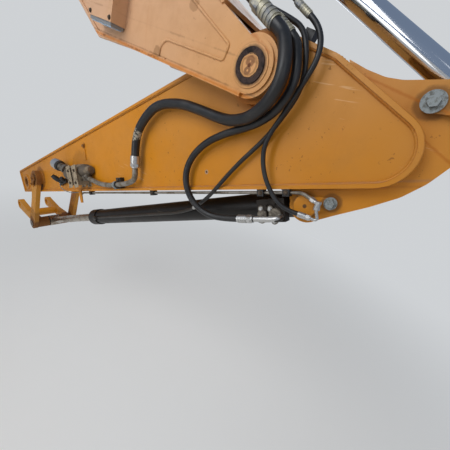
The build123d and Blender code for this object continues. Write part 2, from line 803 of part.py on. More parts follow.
# Pipes on the boom's top plate, each with a hose crimped to its lower end
boom_pipe_rows = {
    # run of the hose's mouth, crimp length, offset, depth, pipe radius, crimp radius, hose radius
    "a": (29.0, 121.0, 138.0, -240.0, 20.0, 28.0, 23.0),
    "b": (-15.0, 95.0, 150.0, -192.0, 14.0, 20.0, 16.0),
    "c": (393.0, 72.0, 137.0, -105.0, 7.0, 12.0, 9.5),
    "d": (-25.0, 75.0, 220.0, -187.0, 7.0, 12.0, 9.5),
}
boom_pipe_end = 2150.0
hose_lead = 1.8
mouth_gap = 0.3


def boom_line(key, run):
    """Point of a boom pipe's line at a run."""
    return (*along(boom_top_angle, run, boom_pipe_rows[key][2]), boom_pipe_rows[key][3])


def hose_start(key):
    """First two points of a hose, in line with its crimp."""
    mouth = boom_pipe_rows[key][0]
    return (boom_line(key, mouth - mouth_gap), boom_line(key, mouth - hose_lead * boom_pipe_rows[key][6]))


def above(x, height, *depth):
    """Point at a height over the stick's underside."""
    return (x, height - stick_depth, *depth)


hose_routes = {
    # side plane x, y and depth, after the straight start
    "a": (
        (130, 40, -256), (141, -28, -278), (124, -96, -284), (68, -144, -270),
        (-6, -168, -248), (-80, -168, -228), (-160, -148, -212), (-292, -84, -202), (-390, -40, -200),
        (-476, -17, -200), (-560, -6, -200), (-640, -18, -200), (-751, -78, -200), (-812, -160, -200),
        (-830, -236, -200),
    ),
    "b": (
        (157, 14, -215), (163, -42, -232), (150, -104, -238), (100, -154, -232),
        (30, -182, -216), (-50, -194, -203), (-168, -201, -196), (-279, -222, -190), (-378, -276, -190),
        (-432, -351, -190), (-436, -436, -190), above(-402, -71, -178), above(-335, -125, -162),
        above(-245, -143, -152), above(-150, -139, -150),
    ),
    "c": (
        (-60, 308, -106), (30, 224, -122), (108, 154, -143), (156, 102, -165), (178, 38, -187),
        (174, -54, -183), (146, -116, -182), (104, -162, -181), (66, -198, -179), (16, -244, -179),
        (-50, -288, -179),
        (-111, -328, -179), (-191, -390, -179), (-262, -450, -180), above(-330, -49, -168),
        above(-420, -83, -130),
    ),
    "d": (
        (219, 66, -189), (228, 22, -197), (220, -22, -203), (198, -58, -205), (168, -94, -205),
        (134, -132, -204), (94, -182, -203), (50, -228, -202), (22, -274, -200), (12, -322, -196),
        (14, -376, -192), (30, -430, -190), above(58, -37, -188), above(100, -79, -184),
        above(150, -96, -178),
    ),
}
with BuildPart() as hose_a:
    make_tube("hose a", hose_start("a") + hose_routes["a"], boom_pipe_rows["a"][6])
hose_a.part.label = "hose_a"
export_step(hose_a.part, "parts/hose_a.step")

with BuildPart() as hose_b:
    make_tube("hose b", hose_start("b") + hose_routes["b"], boom_pipe_rows["b"][6])
hose_b.part.label = "hose_b"
export_step(hose_b.part, "parts/hose_b.step")

with BuildPart() as hose_c:
    make_tube("hose c", hose_start("c") + hose_routes["c"], boom_pipe_rows["c"][6])
hose_c.part.label = "hose_c"
export_step(hose_c.part, "parts/hose_c.step")

with BuildPart() as hose_d:
    make_tube("hose d", hose_start("d") + hose_routes["d"], boom_pipe_rows["d"][6])
hose_d.part.label = "hose_d"
export_step(hose_d.part, "parts/hose_d.step")

# Crimp: shares of its length with sizes against its radius, from the hose's mouth to the nut
ribs = [(0.06, 0.90), (0.10, 1.0)] + 3 * [(0.04, 0.92), (0.10, 1.0)]
nut = [(0.08, 0.86, 0), (0.24, 1.02, 6), (0.10, 0.86, 0)]


def make_crimp(start, end, radius):
    """Ribbed ferrule at a hose's end and the nut behind it."""
    ferrule = [(share, radius * size, 0) for share, size in ribs]
    make_bar(start, end, ferrule + [(share, radius * size, sides) for share, size, sides in nut])


def past(start, end, length, gap=0.0):
    """Points at a gap and at a length beyond the end of a run."""
    first = Vector(*start)
    last = Vector(*end)
    way = (last - first).normalized()
    return tuple(last + way * gap), tuple(last + way * (gap + length))


with BuildPart() as boom_hose_crimps:
    for key, (mouth, length, _, _, _, crimp_radius, _) in boom_pipe_rows.items():
        make_crimp(boom_line(key, mouth), boom_line(key, mouth + length), crimp_radius)
boom_hose_crimps.part.label = "boom_hose_crimps"
export_step(boom_hose_crimps.part, "parts/boom_hose_crimps.step")

with BuildPart() as boom_pipes:
    for key, (mouth, length, _, _, pipe_radius, _, _) in boom_pipe_rows.items():
        make_bar(boom_line(key, mouth + length), boom_line(key, boom_pipe_end), [(1.0, pipe_radius, 0)])
        coupling_end = boom_line(key, boom_pipe_end + 34.0)
        make_bar(boom_line(key, boom_pipe_end), coupling_end, [(1.0, pipe_radius * 1.5, 6)])
boom_pipes.part.label = "boom_pipes"
export_step(boom_pipes.part, "parts/boom_pipes.step")

# Blocks on the top plate hold the pipes: corners are offset and depth
clamp_runs = (520.0, 1100.0, 1700.0)
clamp_length = 46.0
clamp_base = top_face + 0.2
clamp_profile = [
    (clamp_base, -266.0), (168.0, -266.0), (168.0, -214.0), (236.0, -206.0), (236.0, -168.0),
    (174.0, -166.0), (154.0, -150.0), (154.0, -88.0), (clamp_base, -88.0),
]
boom_turn = side(0.0, (0.0, 0.0), boom_top_angle)
with BuildPart() as boom_pipe_clamps:
    for run in clamp_runs:
        start = place(along(boom_top_angle, run - clamp_length / 2, 0.0))
        with BuildSketch(Plane(origin=start, x_dir=-boom_turn.y_dir, z_dir=boom_turn.x_dir)) as shape:
            Polygon(*clamp_profile, align=None)
            for _, _, offset, depth, pipe_radius, _, _ in boom_pipe_rows.values():
                with Locations((offset, depth)):
                    Circle(pipe_radius + seat_gap, mode=Mode.SUBTRACT)
        extrude(shape.sketch, amount=clamp_length)
boom_pipe_clamps.part.label = "boom_pipe_clamps"
export_step(boom_pipe_clamps.part, "parts/boom_pipe_clamps.step")

# Pipe from the large hose along the stick to its shut-off valve
crimp_a = past(*hose_routes["a"][-2:], 70.0, mouth_gap)
valve_pipe_radius = 16.5
valve_pipe_route = (
    crimp_a[1], past(*crimp_a, 74.0)[1], above(-960, 46, -198), above(-1175, 40, -198),
    above(-1310, 55, -198), above(-1400, 83, -198), above(-1500, 108, -198),
)
with BuildPart() as valve_pipe:
    make_tube("valve pipe", valve_pipe_route, valve_pipe_radius)
valve_pipe.part.label = "valve_pipe"
export_step(valve_pipe.part, "parts/valve_pipe.step")

valve_stub = (above(-1800, 183, -205), above(-1888, 219, -216))
stick_face = -stick_half_width
block_start = stick_face - 0.2
with BuildPart() as shutoff_valve:
    make_block(
        [
            above(-1786, 209), above(-1700, 223), above(-1580, 219), above(-1450, 187), above(-1428, 155),
            above(-1470, 133), above(-1498, 129), above(-1508, 89), above(-1600, 65), above(-1770, 71),
            above(-1822, 115), above(-1822, 183),
        ],
        block_start, 66.0,
    )
    make_block([above(-1665, 187), above(-1625, 195), above(-1622, 53), above(-1662, 49)], block_start, 92.0)
    make_block([above(-1568, 175), above(-1528, 179), above(-1524, 53), above(-1564, 49)], block_start, 92.0)
    make_bar(*valve_stub, [(1.0, 25.0, 0)])
    make_bar(*past(*valve_pipe_route[-2:], 14.0), [(1.0, 22.0, 0)])
shutoff_valve.part.label = "shutoff_valve"
export_step(shutoff_valve.part, "parts/shutoff_valve.step")

with BuildPart() as valve_cap:
    make_bar(*past(*valve_stub, 66.0), [(0.4, 46.0, 0), (0.6, 42.0, 0)])
valve_cap.part.label = "valve_cap"
export_step(valve_cap.part, "parts/valve_cap.step")

with BuildPart() as test_port:
    make_block([above(-2075, 93), above(-1935, 115), above(-1925, 79), above(-2062, 53)], block_start, 22.0)
    make_bar(above(-2018, 81, -176), above(-2046, 145, -232), [(0.3, 16.0, 6), (0.5, 21.0, 0), (0.2, 17.0, 0)])
    make_bar(above(-1958, 97, -176), above(-1950, 119, -204), [(0.4, 12.0, 6), (0.6, 17.0, 0)])
test_port.part.label = "test_port"
export_step(test_port.part, "parts/test_port.step")

# Fitting at the end of the smallest hose, and the thin tube that leaves it to run under the stick
crimp_d = past(*hose_routes["d"][-2:], 50.0, mouth_gap)
tee_low = above(218, -79, -172)
tee_high = above(226, -47, -172)
tee_branch = (above(219, -52, -171), above(197, -38, -167))
with BuildPart() as rear_fitting:
    make_tube("rear elbow", (crimp_d[1], past(*crimp_d, 27.0)[1], tee_low), 6.0)
    make_bar(tee_low, tee_high, [(0.35, 13.0, 6), (0.35, 11.0, 0), (0.3, 13.0, 6)])
    make_bar(*tee_branch, [(0.4, 8.0, 0), (0.6, 11.0, 6)])
rear_fitting.part.label = "rear_fitting"
export_step(rear_fitting.part, "parts/rear_fitting.step")

drain_depth = -150.0
drain_height = -stick_depth - 15.0
drain_radius = 7.0
drain_route = (
    tee_branch[1], past(*tee_branch, 36.0)[1], (140, drain_height, drain_depth),
    (-1690, drain_height, drain_depth), (-1742, drain_height - 10.0, drain_depth + 12.0),
)
with BuildPart() as drain_tube:
    make_tube("drain tube", drain_route, drain_radius)
drain_tube.part.label = "drain_tube"
export_step(drain_tube.part, "parts/drain_tube.step")

with BuildPart() as stick_hose_crimps:
    make_crimp(*crimp_a, boom_pipe_rows["a"][5])
    make_crimp(*crimp_d, boom_pipe_rows["d"][5])
stick_hose_crimps.part.label = "stick_hose_crimps"
export_step(stick_hose_crimps.part, "parts/stick_hose_crimps.step")

# Black clamps on the stick: for the valve pipe, for the thin tube, and one on the hump
tube_clamp_runs = (-1540.0, -760.0, -20.0, 96.0)
hump_edge = [(74.0, 0.3), (112.0, 0.3), (112.0, 34.0), (74.0, 34.0)]
band_start = above(-1068, 43, -198)
band_end = above(-1091, 42.4, -198)


def bore_bar(start, end, radius):
    """Hole between two points."""
    first = place(start[:2], start[2])
    run = place(end[:2], end[2]) - first
    with BuildSketch(Plane(origin=first, z_dir=run)) as shape:
        Circle(radius)
    extrude(shape.sketch, amount=run.length, mode=Mode.SUBTRACT)


with BuildPart() as stick_clamps:
    make_block([above(-1106, 21), above(-1052, 21), above(-1052, 89), above(-1106, 89)], block_start, 28.0)
    make_bar(band_start, band_end, [(1.0, valve_pipe_radius + 6.0, 0)])
    bore_bar(above(-1040, 43.7, -198), above(-1120, 41.6, -198), valve_pipe_radius + 0.8)
    for x in tube_clamp_runs:
        make_block(
            [
                (x - 15, -stick_depth - 0.3), (x + 15, -stick_depth - 0.3),
                (x + 15, drain_height - 15), (x - 15, drain_height - 15),
            ],
            drain_depth + 16, 32.0,
        )
        bore_bar((x - 16, drain_height, drain_depth), (x + 16, drain_height, drain_depth), drain_radius + 0.2)
    make_block(
        [along(54.4 - 90.0, run, -hump_radius - height) for run, height in hump_edge], -112.0, 38.0,
    )
stick_clamps.part.label = "stick_clamps"
export_step(stick_clamps.part, "parts/stick_clamps.step")

# Keepers: a strap from each pin's end to a bolt in the ear
keeper_face = ear_outer + 12.2
strap_thickness = 10.0
keepers = [
    # pin, bolt, disc radius, half width at the bolt
    (lift_eye, (526.0, -205.0), 56.0, 29.0),
    (tool_foot, (262.0, tool_foot[1] + 13.0), 47.0, 22.0),
]
with BuildPart() as pin_keepers:
    for pin, bolt, disc_radius, half_width in keepers:
        turn = degrees(atan2(bolt[1] - pin[1], bolt[0] - pin[0]))
        reach = hypot(bolt[0] - pin[0], bolt[1] - pin[1])
        with BuildSketch(side(-keeper_face, pin, turn)) as shape:
            Circle(disc_radius)
            Polygon(
                (0.0, -disc_radius * 0.8), (reach, -half_width), (reach, half_width), (0.0, disc_radius * 0.8),
                align=None,
            )
            with Locations((reach, 0)):
                Circle(half_width)
        extrude(shape.sketch, amount=strap_thickness)
        with BuildSketch(side(-ear_outer - 0.1, bolt)) as shape:
            Circle(16.0)
        extrude(shape.sketch, amount=keeper_face - ear_outer - 0.2)
pin_keepers.part.label = "pin_keepers"
export_step(pin_keepers.part, "parts/pin_keepers.step")

washer_face = keeper_face + strap_thickness
with BuildPart() as keeper_bolts:
    for _, bolt, _, half_width in keepers:
        with BuildSketch(side(-washer_face, bolt)) as shape:
            Circle(half_width + 2.0)
        extrude(shape.sketch, amount=7.0)
        with BuildSketch(side(-washer_face - 7.0, bolt)) as shape:
            RegularPolygon(17.0, 6)
        extrude(shape.sketch, amount=11.0)
keeper_bolts.part.label = "keeper_bolts"
export_step(keeper_bolts.part, "parts/keeper_bolts.step")

# Ports and pipe on the tool cylinder: the middle hose ends at its foot
tool_turn = degrees(atan2(rocker_end[1] - tool_foot[1], rocker_end[0] - tool_foot[0]))
tool_port_run = 175.0
tool_gland_run = tool_barrel_length - gland_length - 60.0


def beside(start, turn, run, offset, depth):
    """Point at a run along a cylinder and an offset to its right, with its depth."""
    return (*along(turn, run, offset, start), depth)


crimp_b = past(*hose_routes["b"][-2:], 83.0, mouth_gap)
crimp_c = past(*hose_routes["c"][-2:], 60.0, mouth_gap)
tool_pipe_radius = 9.0
tool_pipe_depth = -tool_barrel_radius - 18.5
elbow_b = past(*crimp_b, 122.0)[1]
port_b_route = (crimp_b[1], elbow_b, (elbow_b[0], elbow_b[1], -tool_barrel_radius - 46.4))
port_c_route = (
    crimp_c[1], past(*crimp_c, 30.0)[1], beside(tool_foot, tool_turn, 800.0, 0.0, tool_pipe_depth),
    beside(tool_foot, tool_turn, tool_gland_run - 30.0, 0.4, tool_pipe_depth),
)
with BuildPart() as tool_port_block:
    make_block(
        [
            along(tool_turn, 98.0, 38.0, tool_foot), along(tool_turn, 232.0, 38.0, tool_foot),
            along(tool_turn, 232.0, -68.0, tool_foot), along(tool_turn, 98.0, -68.0, tool_foot),
        ],
        -tool_barrel_radius - 0.2, 46.0,
    )
    make_bar(above(-18, -87, -110.2), above(-18, -87, -126.0), [(0.5, 16.0, 0), (0.5, 13.0, 6)])
    make_bar(above(20, -61, -110.2), above(20, -61, -122.0), [(1.0, 11.0, 6)])
tool_port_block.part.label = "tool_port_block"
export_step(tool_port_block.part, "parts/tool_port_block.step")

with BuildPart() as tool_hose_crimps:
    make_crimp(*crimp_b, boom_pipe_rows["b"][5])
    make_crimp(*crimp_c, boom_pipe_rows["c"][5])
tool_hose_crimps.part.label = "tool_hose_crimps"
export_step(tool_hose_crimps.part, "parts/tool_hose_crimps.step")

with BuildPart() as tool_pipes:
    make_tube("port pipe b", port_b_route, 12.0)
    make_tube("port pipe c", port_c_route, tool_pipe_radius)
    make_bar(
        beside(tool_foot, tool_turn, tool_gland_run - 30.0, 0.0, tool_pipe_depth),
        beside(tool_foot, tool_turn, tool_gland_run + 30.0, 0.0, tool_pipe_depth),
        [(0.3, 15.0, 6), (0.7, 18.0, 0)],
    )
tool_pipes.part.label = "tool_pipes"
export_step(tool_pipes.part, "parts/tool_pipes.step")

# Ports and pipe on the stick cylinder
lift_turn = degrees(atan2(lift_eye[1] - lift_foot[1], lift_eye[0] - lift_foot[0]))
lift_gland_run = lift_barrel_length - gland_length - 60.0
lift_pipe_depth = -lift_barrel_radius - 18.0
lift_pipe_radius = 11.0
lift_port_run = 240.0
with BuildPart() as lift_pipes:
    for run in (lift_port_run, lift_gland_run):
        make_bar(
            beside(lift_foot, lift_turn, run, 0.0, -lift_barrel_radius - 0.2),
            beside(lift_foot, lift_turn, run, 0.0, lift_pipe_depth - 22.0),
            [(0.8, 24.0, 0), (0.2, 20.0, 6)],
        )
    make_bar(
        beside(lift_foot, lift_turn, lift_port_run + 24.2, 0.0, lift_pipe_depth),
        beside(lift_foot, lift_turn, lift_gland_run - 24.2, 0.0, lift_pipe_depth),
        [(0.02, 16.0, 6), (0.96, lift_pipe_radius, 0), (0.02, 16.0, 6)],
    )
lift_pipes.part.label = "lift_pipes"
export_step(lift_pipes.part, "parts/lift_pipes.step")

# Work lamp in a guard on the boom's side, open downwards
lamp_run = (792.0, 998.0)
lamp_low = -36.0
guard_height = 150.0
guard_depth = 76.0
guard_wall = 5.0
lamp_margin = guard_wall + 0.3
lamp_lip = 15.0
boom_face = -boom_half_width - 0.2


def make_boom_box(runs, offsets, depth, thickness):
    """Box on the boom's side, square to its underside."""
    low_run, high_run = runs
    low, high = offsets
    points = [(low_run, low), (high_run, low), (high_run, high), (low_run, high)]
    make_block([along(boom_underside_angle, run, offset) for run, offset in points], depth, thickness)


with BuildPart() as lamp_guard:
    make_boom_box(lamp_run, (lamp_low, lamp_low + guard_height), boom_face, guard_depth)
    with BuildSketch(side(boom_face - guard_wall)) as shape:
        hollow = [
            (lamp_run[0] + guard_wall, lamp_low - 1.0), (lamp_run[1] - guard_wall, lamp_low - 1.0),
            (lamp_run[1] - guard_wall, lamp_low + guard_height - guard_wall),
            (lamp_run[0] + guard_wall, lamp_low + guard_height - guard_wall),
        ]
        Polygon(*[along(boom_underside_angle, run, offset) for run, offset in hollow], align=None)
    extrude(shape.sketch, amount=guard_depth - 2 * guard_wall, mode=Mode.SUBTRACT)
lamp_guard.part.label = "lamp_guard"
export_step(lamp_guard.part, "parts/lamp_guard.step")

with BuildPart() as work_lamp:
    make_boom_box(
        (lamp_run[0] + lamp_margin, lamp_run[1] - lamp_margin),
        (lamp_low - lamp_lip, lamp_low + guard_height - lamp_margin),
        boom_face - lamp_margin, guard_depth - 2 * lamp_margin,
    )
work_lamp.part.label = "work_lamp"
export_step(work_lamp.part, "parts/work_lamp.step")

# Small tabs: a bolted strip above the valve and a bracket under the stick
with BuildPart() as stick_tabs:
    make_block([above(-1560, 361), above(-1524, 361), above(-1534, 241), above(-1562, 241)], block_start, 5.0)
    make_disc(above(-1541, 347), block_start - 5.0, 13.0, 8.0, 6)
    make_block(
        [
            above(-1716, 13), above(-1668, 13), above(-1668, -1),
            above(-1676, -95), above(-1708, -95), above(-1716, -1),
        ],
        block_start - 13.3, 8.0,
    )
stick_tabs.part.label = "stick_tabs"
export_step(stick_tabs.part, "parts/stick_tabs.step")

# Keepers on the rockers' pin: a plate with two bolts on the hose side
rocker_keeper_turn = degrees(atan2(rocker_end[1] - rocker_pivot[1], rocker_end[0] - rocker_pivot[0]))
rocker_face = rocker_outer + 8.2
with BuildPart() as rocker_keepers:
    with BuildSketch(side(-rocker_face, rocker_pivot, rocker_keeper_turn)) as shape:
        Circle(40.0)
        Polygon((0.0, -30.0), (96.0, -22.0), (96.0, 22.0), (0.0, 30.0), align=None)
    extrude(shape.sketch, amount=9.0)
    for run in (6.0, 78.0):
        make_disc(along(rocker_keeper_turn, run, 0.0, rocker_pivot), -rocker_face - 9.0, 14.0, 10.0, 6)
    make_disc(along(rocker_keeper_turn, 78.0, 0.0, rocker_pivot), -rocker_outer - 0.1, 12.0, 8.1)
rocker_keepers.part.label = "rocker_keepers"
export_step(rocker_keepers.part, "parts/rocker_keepers.step")
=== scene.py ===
import math

import bmesh
import bpy
from mathutils import Matrix, Vector


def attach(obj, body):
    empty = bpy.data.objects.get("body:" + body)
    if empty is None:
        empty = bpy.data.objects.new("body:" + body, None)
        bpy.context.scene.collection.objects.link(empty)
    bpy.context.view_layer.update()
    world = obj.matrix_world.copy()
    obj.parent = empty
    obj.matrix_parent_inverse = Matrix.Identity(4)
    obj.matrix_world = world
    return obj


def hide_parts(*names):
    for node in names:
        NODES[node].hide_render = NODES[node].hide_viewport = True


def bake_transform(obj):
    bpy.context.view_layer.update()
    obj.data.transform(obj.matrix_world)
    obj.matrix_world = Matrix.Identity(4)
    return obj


bl_info = {
    "name": "Working Arm Dressing",
    "version": (1, 0, 0),
    "blender": (4, 5, 0),
    "location": "3D View > Sidebar > Working Arm",
    "description": "Finishes, hoses, weld beads and stage for an excavator's working arm",
    "category": "Object",
}

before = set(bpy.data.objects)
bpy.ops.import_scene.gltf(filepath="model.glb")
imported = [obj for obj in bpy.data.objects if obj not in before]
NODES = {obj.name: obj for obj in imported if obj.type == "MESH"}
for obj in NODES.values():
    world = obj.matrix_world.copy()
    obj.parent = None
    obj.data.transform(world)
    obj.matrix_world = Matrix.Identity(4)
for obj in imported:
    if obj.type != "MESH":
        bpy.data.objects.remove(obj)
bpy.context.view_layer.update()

# side plane: mm from the stick's pivot, x along the stick's underside to the rear, y square to it
PIVOT, ROOT = (0.0, 0.0), (-1950.0, 2200.0)
TILT = math.radians(20.7)


def arm_point(x, y, depth=0.0):
    """Point of the arm's side plane in the row frame: millimetres in, metres out."""
    u, v = x - ROOT[0], y - ROOT[1]
    c, s = math.cos(TILT), math.sin(TILT)
    return Vector(((u * c - v * s) / 1000, depth / 1000, (u * s + v * c) / 1000))


def arm_points(rows):
    """Points of the row frame for rows of side plane x, y and depth."""
    return [arm_point(*row) for row in rows]


def arm_way(x, y, depth=0.0):
    """Direction of the side plane in the row frame."""
    c, s = math.cos(TILT), math.sin(TILT)
    return Vector((x * c - y * s, depth, x * s + y * c)).normalized()


def turned(degrees):
    """Unit direction of the side plane at an angle, as x and y."""
    return math.cos(math.radians(degrees)), math.sin(math.radians(degrees))


def along(degrees, run, offset):
    """Side plane point at a run along a direction and an offset to its right, from the stick's pivot."""
    c, s = turned(degrees)
    return c * run + s * offset, s * run - c * offset


def crossing(first, second):
    """Side plane point where two edges meet, each an outward angle and a distance from the pivot."""
    (a, b), (c, d) = turned(first[0]), turned(second[0])
    scale = a * d - b * c
    return (first[1] * d - b * second[1]) / scale, (a * second[1] - c * first[1]) / scale


def tone(red, green, blue):
    """Linear colour of a display colour from 0 to 255."""
    return (*(((c / 255 + 0.055) / 1.055) ** 2.4 if c > 10 else c / 3294 for c in (red, green, blue)), 1.0)


# pins and eyes in the side plane
NOSE_PIN, ROCKER_PIVOT, ROCKER_END = (-3020.0, -330.0), (-2565.0, -300.0), (-2930.0, -800.0)
TOOL_FOOT, LIFT_EYE = (165.0, -515.0), (660.0, -230.0)
# directions of the boom's top and underside in degrees, and the depths of the faces on the hose side
BOOM_TOP, BOOM_UNDERSIDE = 127.8, 150.3
STICK_FACE, BOOM_FACE = -155.0, -255.0
# edges round the stick: outward angle in degrees and distance from the pivot, then each corner's rounding
STICK_EDGES = ((96.28, 149.0), (189.7, 3180.4), (270.0, 445.0), (42.4, 192.7), (54.4, 149.0))
STICK_ROUNDING = (20.0, 20.0, 120.0, 60.0, 149.0)

COLOUR_SETTING = {"subtype": "COLOR", "size": 4, "min": 0, "max": 1}
LENGTH_SETTING = {"subtype": "DISTANCE", "unit": "LENGTH"}
SHARE_SETTING = {"subtype": "FACTOR", "min": 0}


class ArmPaintSettings(bpy.types.PropertyGroup):
    stick_colour: bpy.props.FloatVectorProperty(
        name="Stick paint", description="Yellow of the stick", default=tone(191, 121, 10), **COLOUR_SETTING)
    # painted sky reflection: the stick's paint turns to this paler yellow towards its top
    stick_painted_reflection: bpy.props.FloatVectorProperty(
        name="Faded stick paint", description="Paler yellow towards the stick's top, a painted sky reflection",
        default=tone(190, 136, 74), **COLOUR_SETTING)
    boom_colour: bpy.props.FloatVectorProperty(
        name="Boom paint", description="Paler, faded yellow of the boom", default=tone(203, 148, 90),
        **COLOUR_SETTING)
    boom_upper_tint: bpy.props.FloatVectorProperty(
        name="Faded boom paint", description="Paler paint of the boom's upper part",
        default=tone(198, 158, 126), **COLOUR_SETTING)
    rust_colour: bpy.props.FloatVectorProperty(
        name="Rust", description="Brown of rusty edges and rings", default=tone(92, 54, 34), **COLOUR_SETTING)
    wear: bpy.props.FloatProperty(
        name="Wear", description="Share of worn and stained paint", default=0.5, max=1, **SHARE_SETTING)


class ArmWeldSettings(bpy.types.PropertyGroup):
    bead_radius: bpy.props.FloatProperty(
        name="Bead radius", description="Radius of the welds that show", default=0.006, min=0.002, max=0.02,
        **LENGTH_SETTING)
    ripple: bpy.props.FloatProperty(
        name="Ripple", description="Length of one ripple of a weld", default=0.012, min=0.004, max=0.04,
        **LENGTH_SETTING)
    ripple_depth: bpy.props.FloatProperty(
        name="Ripple depth", description="Share of the radius that a ripple takes", default=0.16, max=0.5,
        **SHARE_SETTING)


class ArmHoseSettings(bpy.types.PropertyGroup):
    main_radius: bpy.props.FloatProperty(
        name="Main hose radius", description="Outer radius of the largest hose", default=0.023, min=0.005,
        max=0.04, **LENGTH_SETTING)
    middle_radius: bpy.props.FloatProperty(
        name="Middle hose radius", description="Outer radius of the middle hose", default=0.016, min=0.005,
        max=0.03, **LENGTH_SETTING)
    small_radius: bpy.props.FloatProperty(
        name="Small hose radius", description="Outer radius of both small hoses", default=0.0095, min=0.003,
        max=0.02, **LENGTH_SETTING)


class ArmStageSettings(bpy.types.PropertyGroup):
    floor_height: bpy.props.FloatProperty(
        name="Floor height", description="Height of the floor, below the stick's whole swing", default=-4.95,
        **LENGTH_SETTING)
    floor_colour: bpy.props.FloatVectorProperty(
        name="Floor colour", description="Pale floor", default=(0.92, 0.915, 0.90, 1.0), **COLOUR_SETTING)
    background: bpy.props.FloatVectorProperty(
        name="Background", description="Plain colour behind the arm", default=(0.62, 0.64, 0.66, 1.0),
        **COLOUR_SETTING)


def new_material(name):
    """Material with its tree and its shader, linked to the output."""
    material = bpy.data.materials.new(name)
    material.use_nodes = True
    tree = material.node_tree
    tree.nodes.clear()
    output = tree.nodes.new("ShaderNodeOutputMaterial")
    shader = tree.nodes.new("ShaderNodeBsdfPrincipled")
    tree.links.new(shader.outputs["BSDF"], output.inputs["Surface"])
    return material, tree, shader


def add_node(tree, kind, links=(), **values):
    """Node with values on its attributes and inputs, and links into its inputs."""
    node = tree.nodes.new(kind)
    for key, value in values.items():
        if hasattr(node, key):
            setattr(node, key, value)
        else:
            node.inputs[key.replace("_", " ")].default_value = value
    for socket, source in links:
        tree.links.new(source, node.inputs[socket])
    return node


def fill_inputs(tree, node, values):
    """Links or values on a node's inputs, by their numbers."""
    for number, value in values:
        if isinstance(value, bpy.types.NodeSocket):
            tree.links.new(value, node.inputs[number])
        elif value is not None:
            node.inputs[number].default_value = value


def new_group(name, inputs, outputs):
    """Shader node group with typed sockets, what comes into it and what it gives."""
    group = bpy.data.node_groups.new(name, "ShaderNodeTree")
    for socket, kind, default in inputs:
        group.interface.new_socket(name=socket, in_out="INPUT", socket_type=kind).default_value = default
    for socket, kind in outputs:
        group.interface.new_socket(name=socket, in_out="OUTPUT", socket_type=kind)
    given, result = group.nodes.new("NodeGroupInput"), group.nodes.new("NodeGroupOutput")
    return group, given.outputs, result.inputs


COLOUR, FLOAT, VECTOR = "NodeSocketColor", "NodeSocketFloat", "NodeSocketVector"


def object_place(tree):
    """Place on the object, which stays with it as it moves."""
    return tree.nodes.new("ShaderNodeTexCoord").outputs["Object"]


def mix_colour(tree, share, a, b):
    """Mix of two colours, each a socket or a value."""
    # inputs 6 and 7 and output 2 are the node's colours
    node = add_node(tree, "ShaderNodeMix", data_type="RGBA")
    fill_inputs(tree, node, ((0, share), (6, a), (7, b)))
    return node.outputs[2]


def mix_shader(tree, share, a, b):
    """Mix of two shader sockets."""
    node = tree.nodes.new("ShaderNodeMixShader")
    fill_inputs(tree, node, ((0, share), (1, a), (2, b)))
    return node.outputs["Shader"]


def calculate(tree, operation, a, b=None, clamp=False):
    """Result of a math node on sockets or values, over its whole range or from 0 to 1."""
    node = add_node(tree, "ShaderNodeMath", operation=operation, use_clamp=clamp)
    fill_inputs(tree, node, enumerate((a, b)))
    return node.outputs["Value"]


def times(tree, a, b):
    """Product from 0 to 1 of sockets or values."""
    return calculate(tree, "MULTIPLY", a, b, clamp=True)


def plus(tree, a, b):
    """Sum from 0 to 1 of sockets or values."""
    return calculate(tree, "ADD", a, b, clamp=True)


def measure(tree, operation, a, b=None):
    """Number that a vector math node finds from sockets or values."""
    node = add_node(tree, "ShaderNodeVectorMath", operation=operation)
    fill_inputs(tree, node, enumerate((a, b)))
    return node.outputs["Value"]


def ramp(tree, source, low, high):
    """Value from 0 to 1 as the source goes from low to high."""
    return add_node(tree, "ShaderNodeMapRange", [("Value", source)], interpolation_type="SMOOTHSTEP",
                    From_Min=low, From_Max=high).outputs["Result"]


def noise(tree, vector, scale, detail=3.0, rough=0.55):
    """Noise on a vector socket."""
    return add_node(
        tree, "ShaderNodeTexNoise", [("Vector", vector)], Scale=scale, Detail=detail, Roughness=rough
    ).outputs["Fac"]


def patches(tree, vector, low, high, scale, detail=3.0, rough=0.55):
    """Patches of noise: none below the low level, whole above the high one."""
    return ramp(tree, noise(tree, vector, scale, detail, rough), low, high)


def wander(tree, vector, amount, scale, detail=3.0, rough=0.55):
    """Noise about zero that moves an edge by up to half the amount."""
    swing = calculate(tree, "SUBTRACT", noise(tree, vector, scale, detail, rough), 0.5)
    return calculate(tree, "MULTIPLY", swing, amount)


def stretched(tree, vector, scale, turn=(0.0, 0.0, 0.0)):
    """Vector socket that draws a pattern out along an axis."""
    mapping = add_node(tree, "ShaderNodeMapping", [("Vector", vector)], Rotation=turn, Scale=scale)
    return mapping.outputs["Vector"]


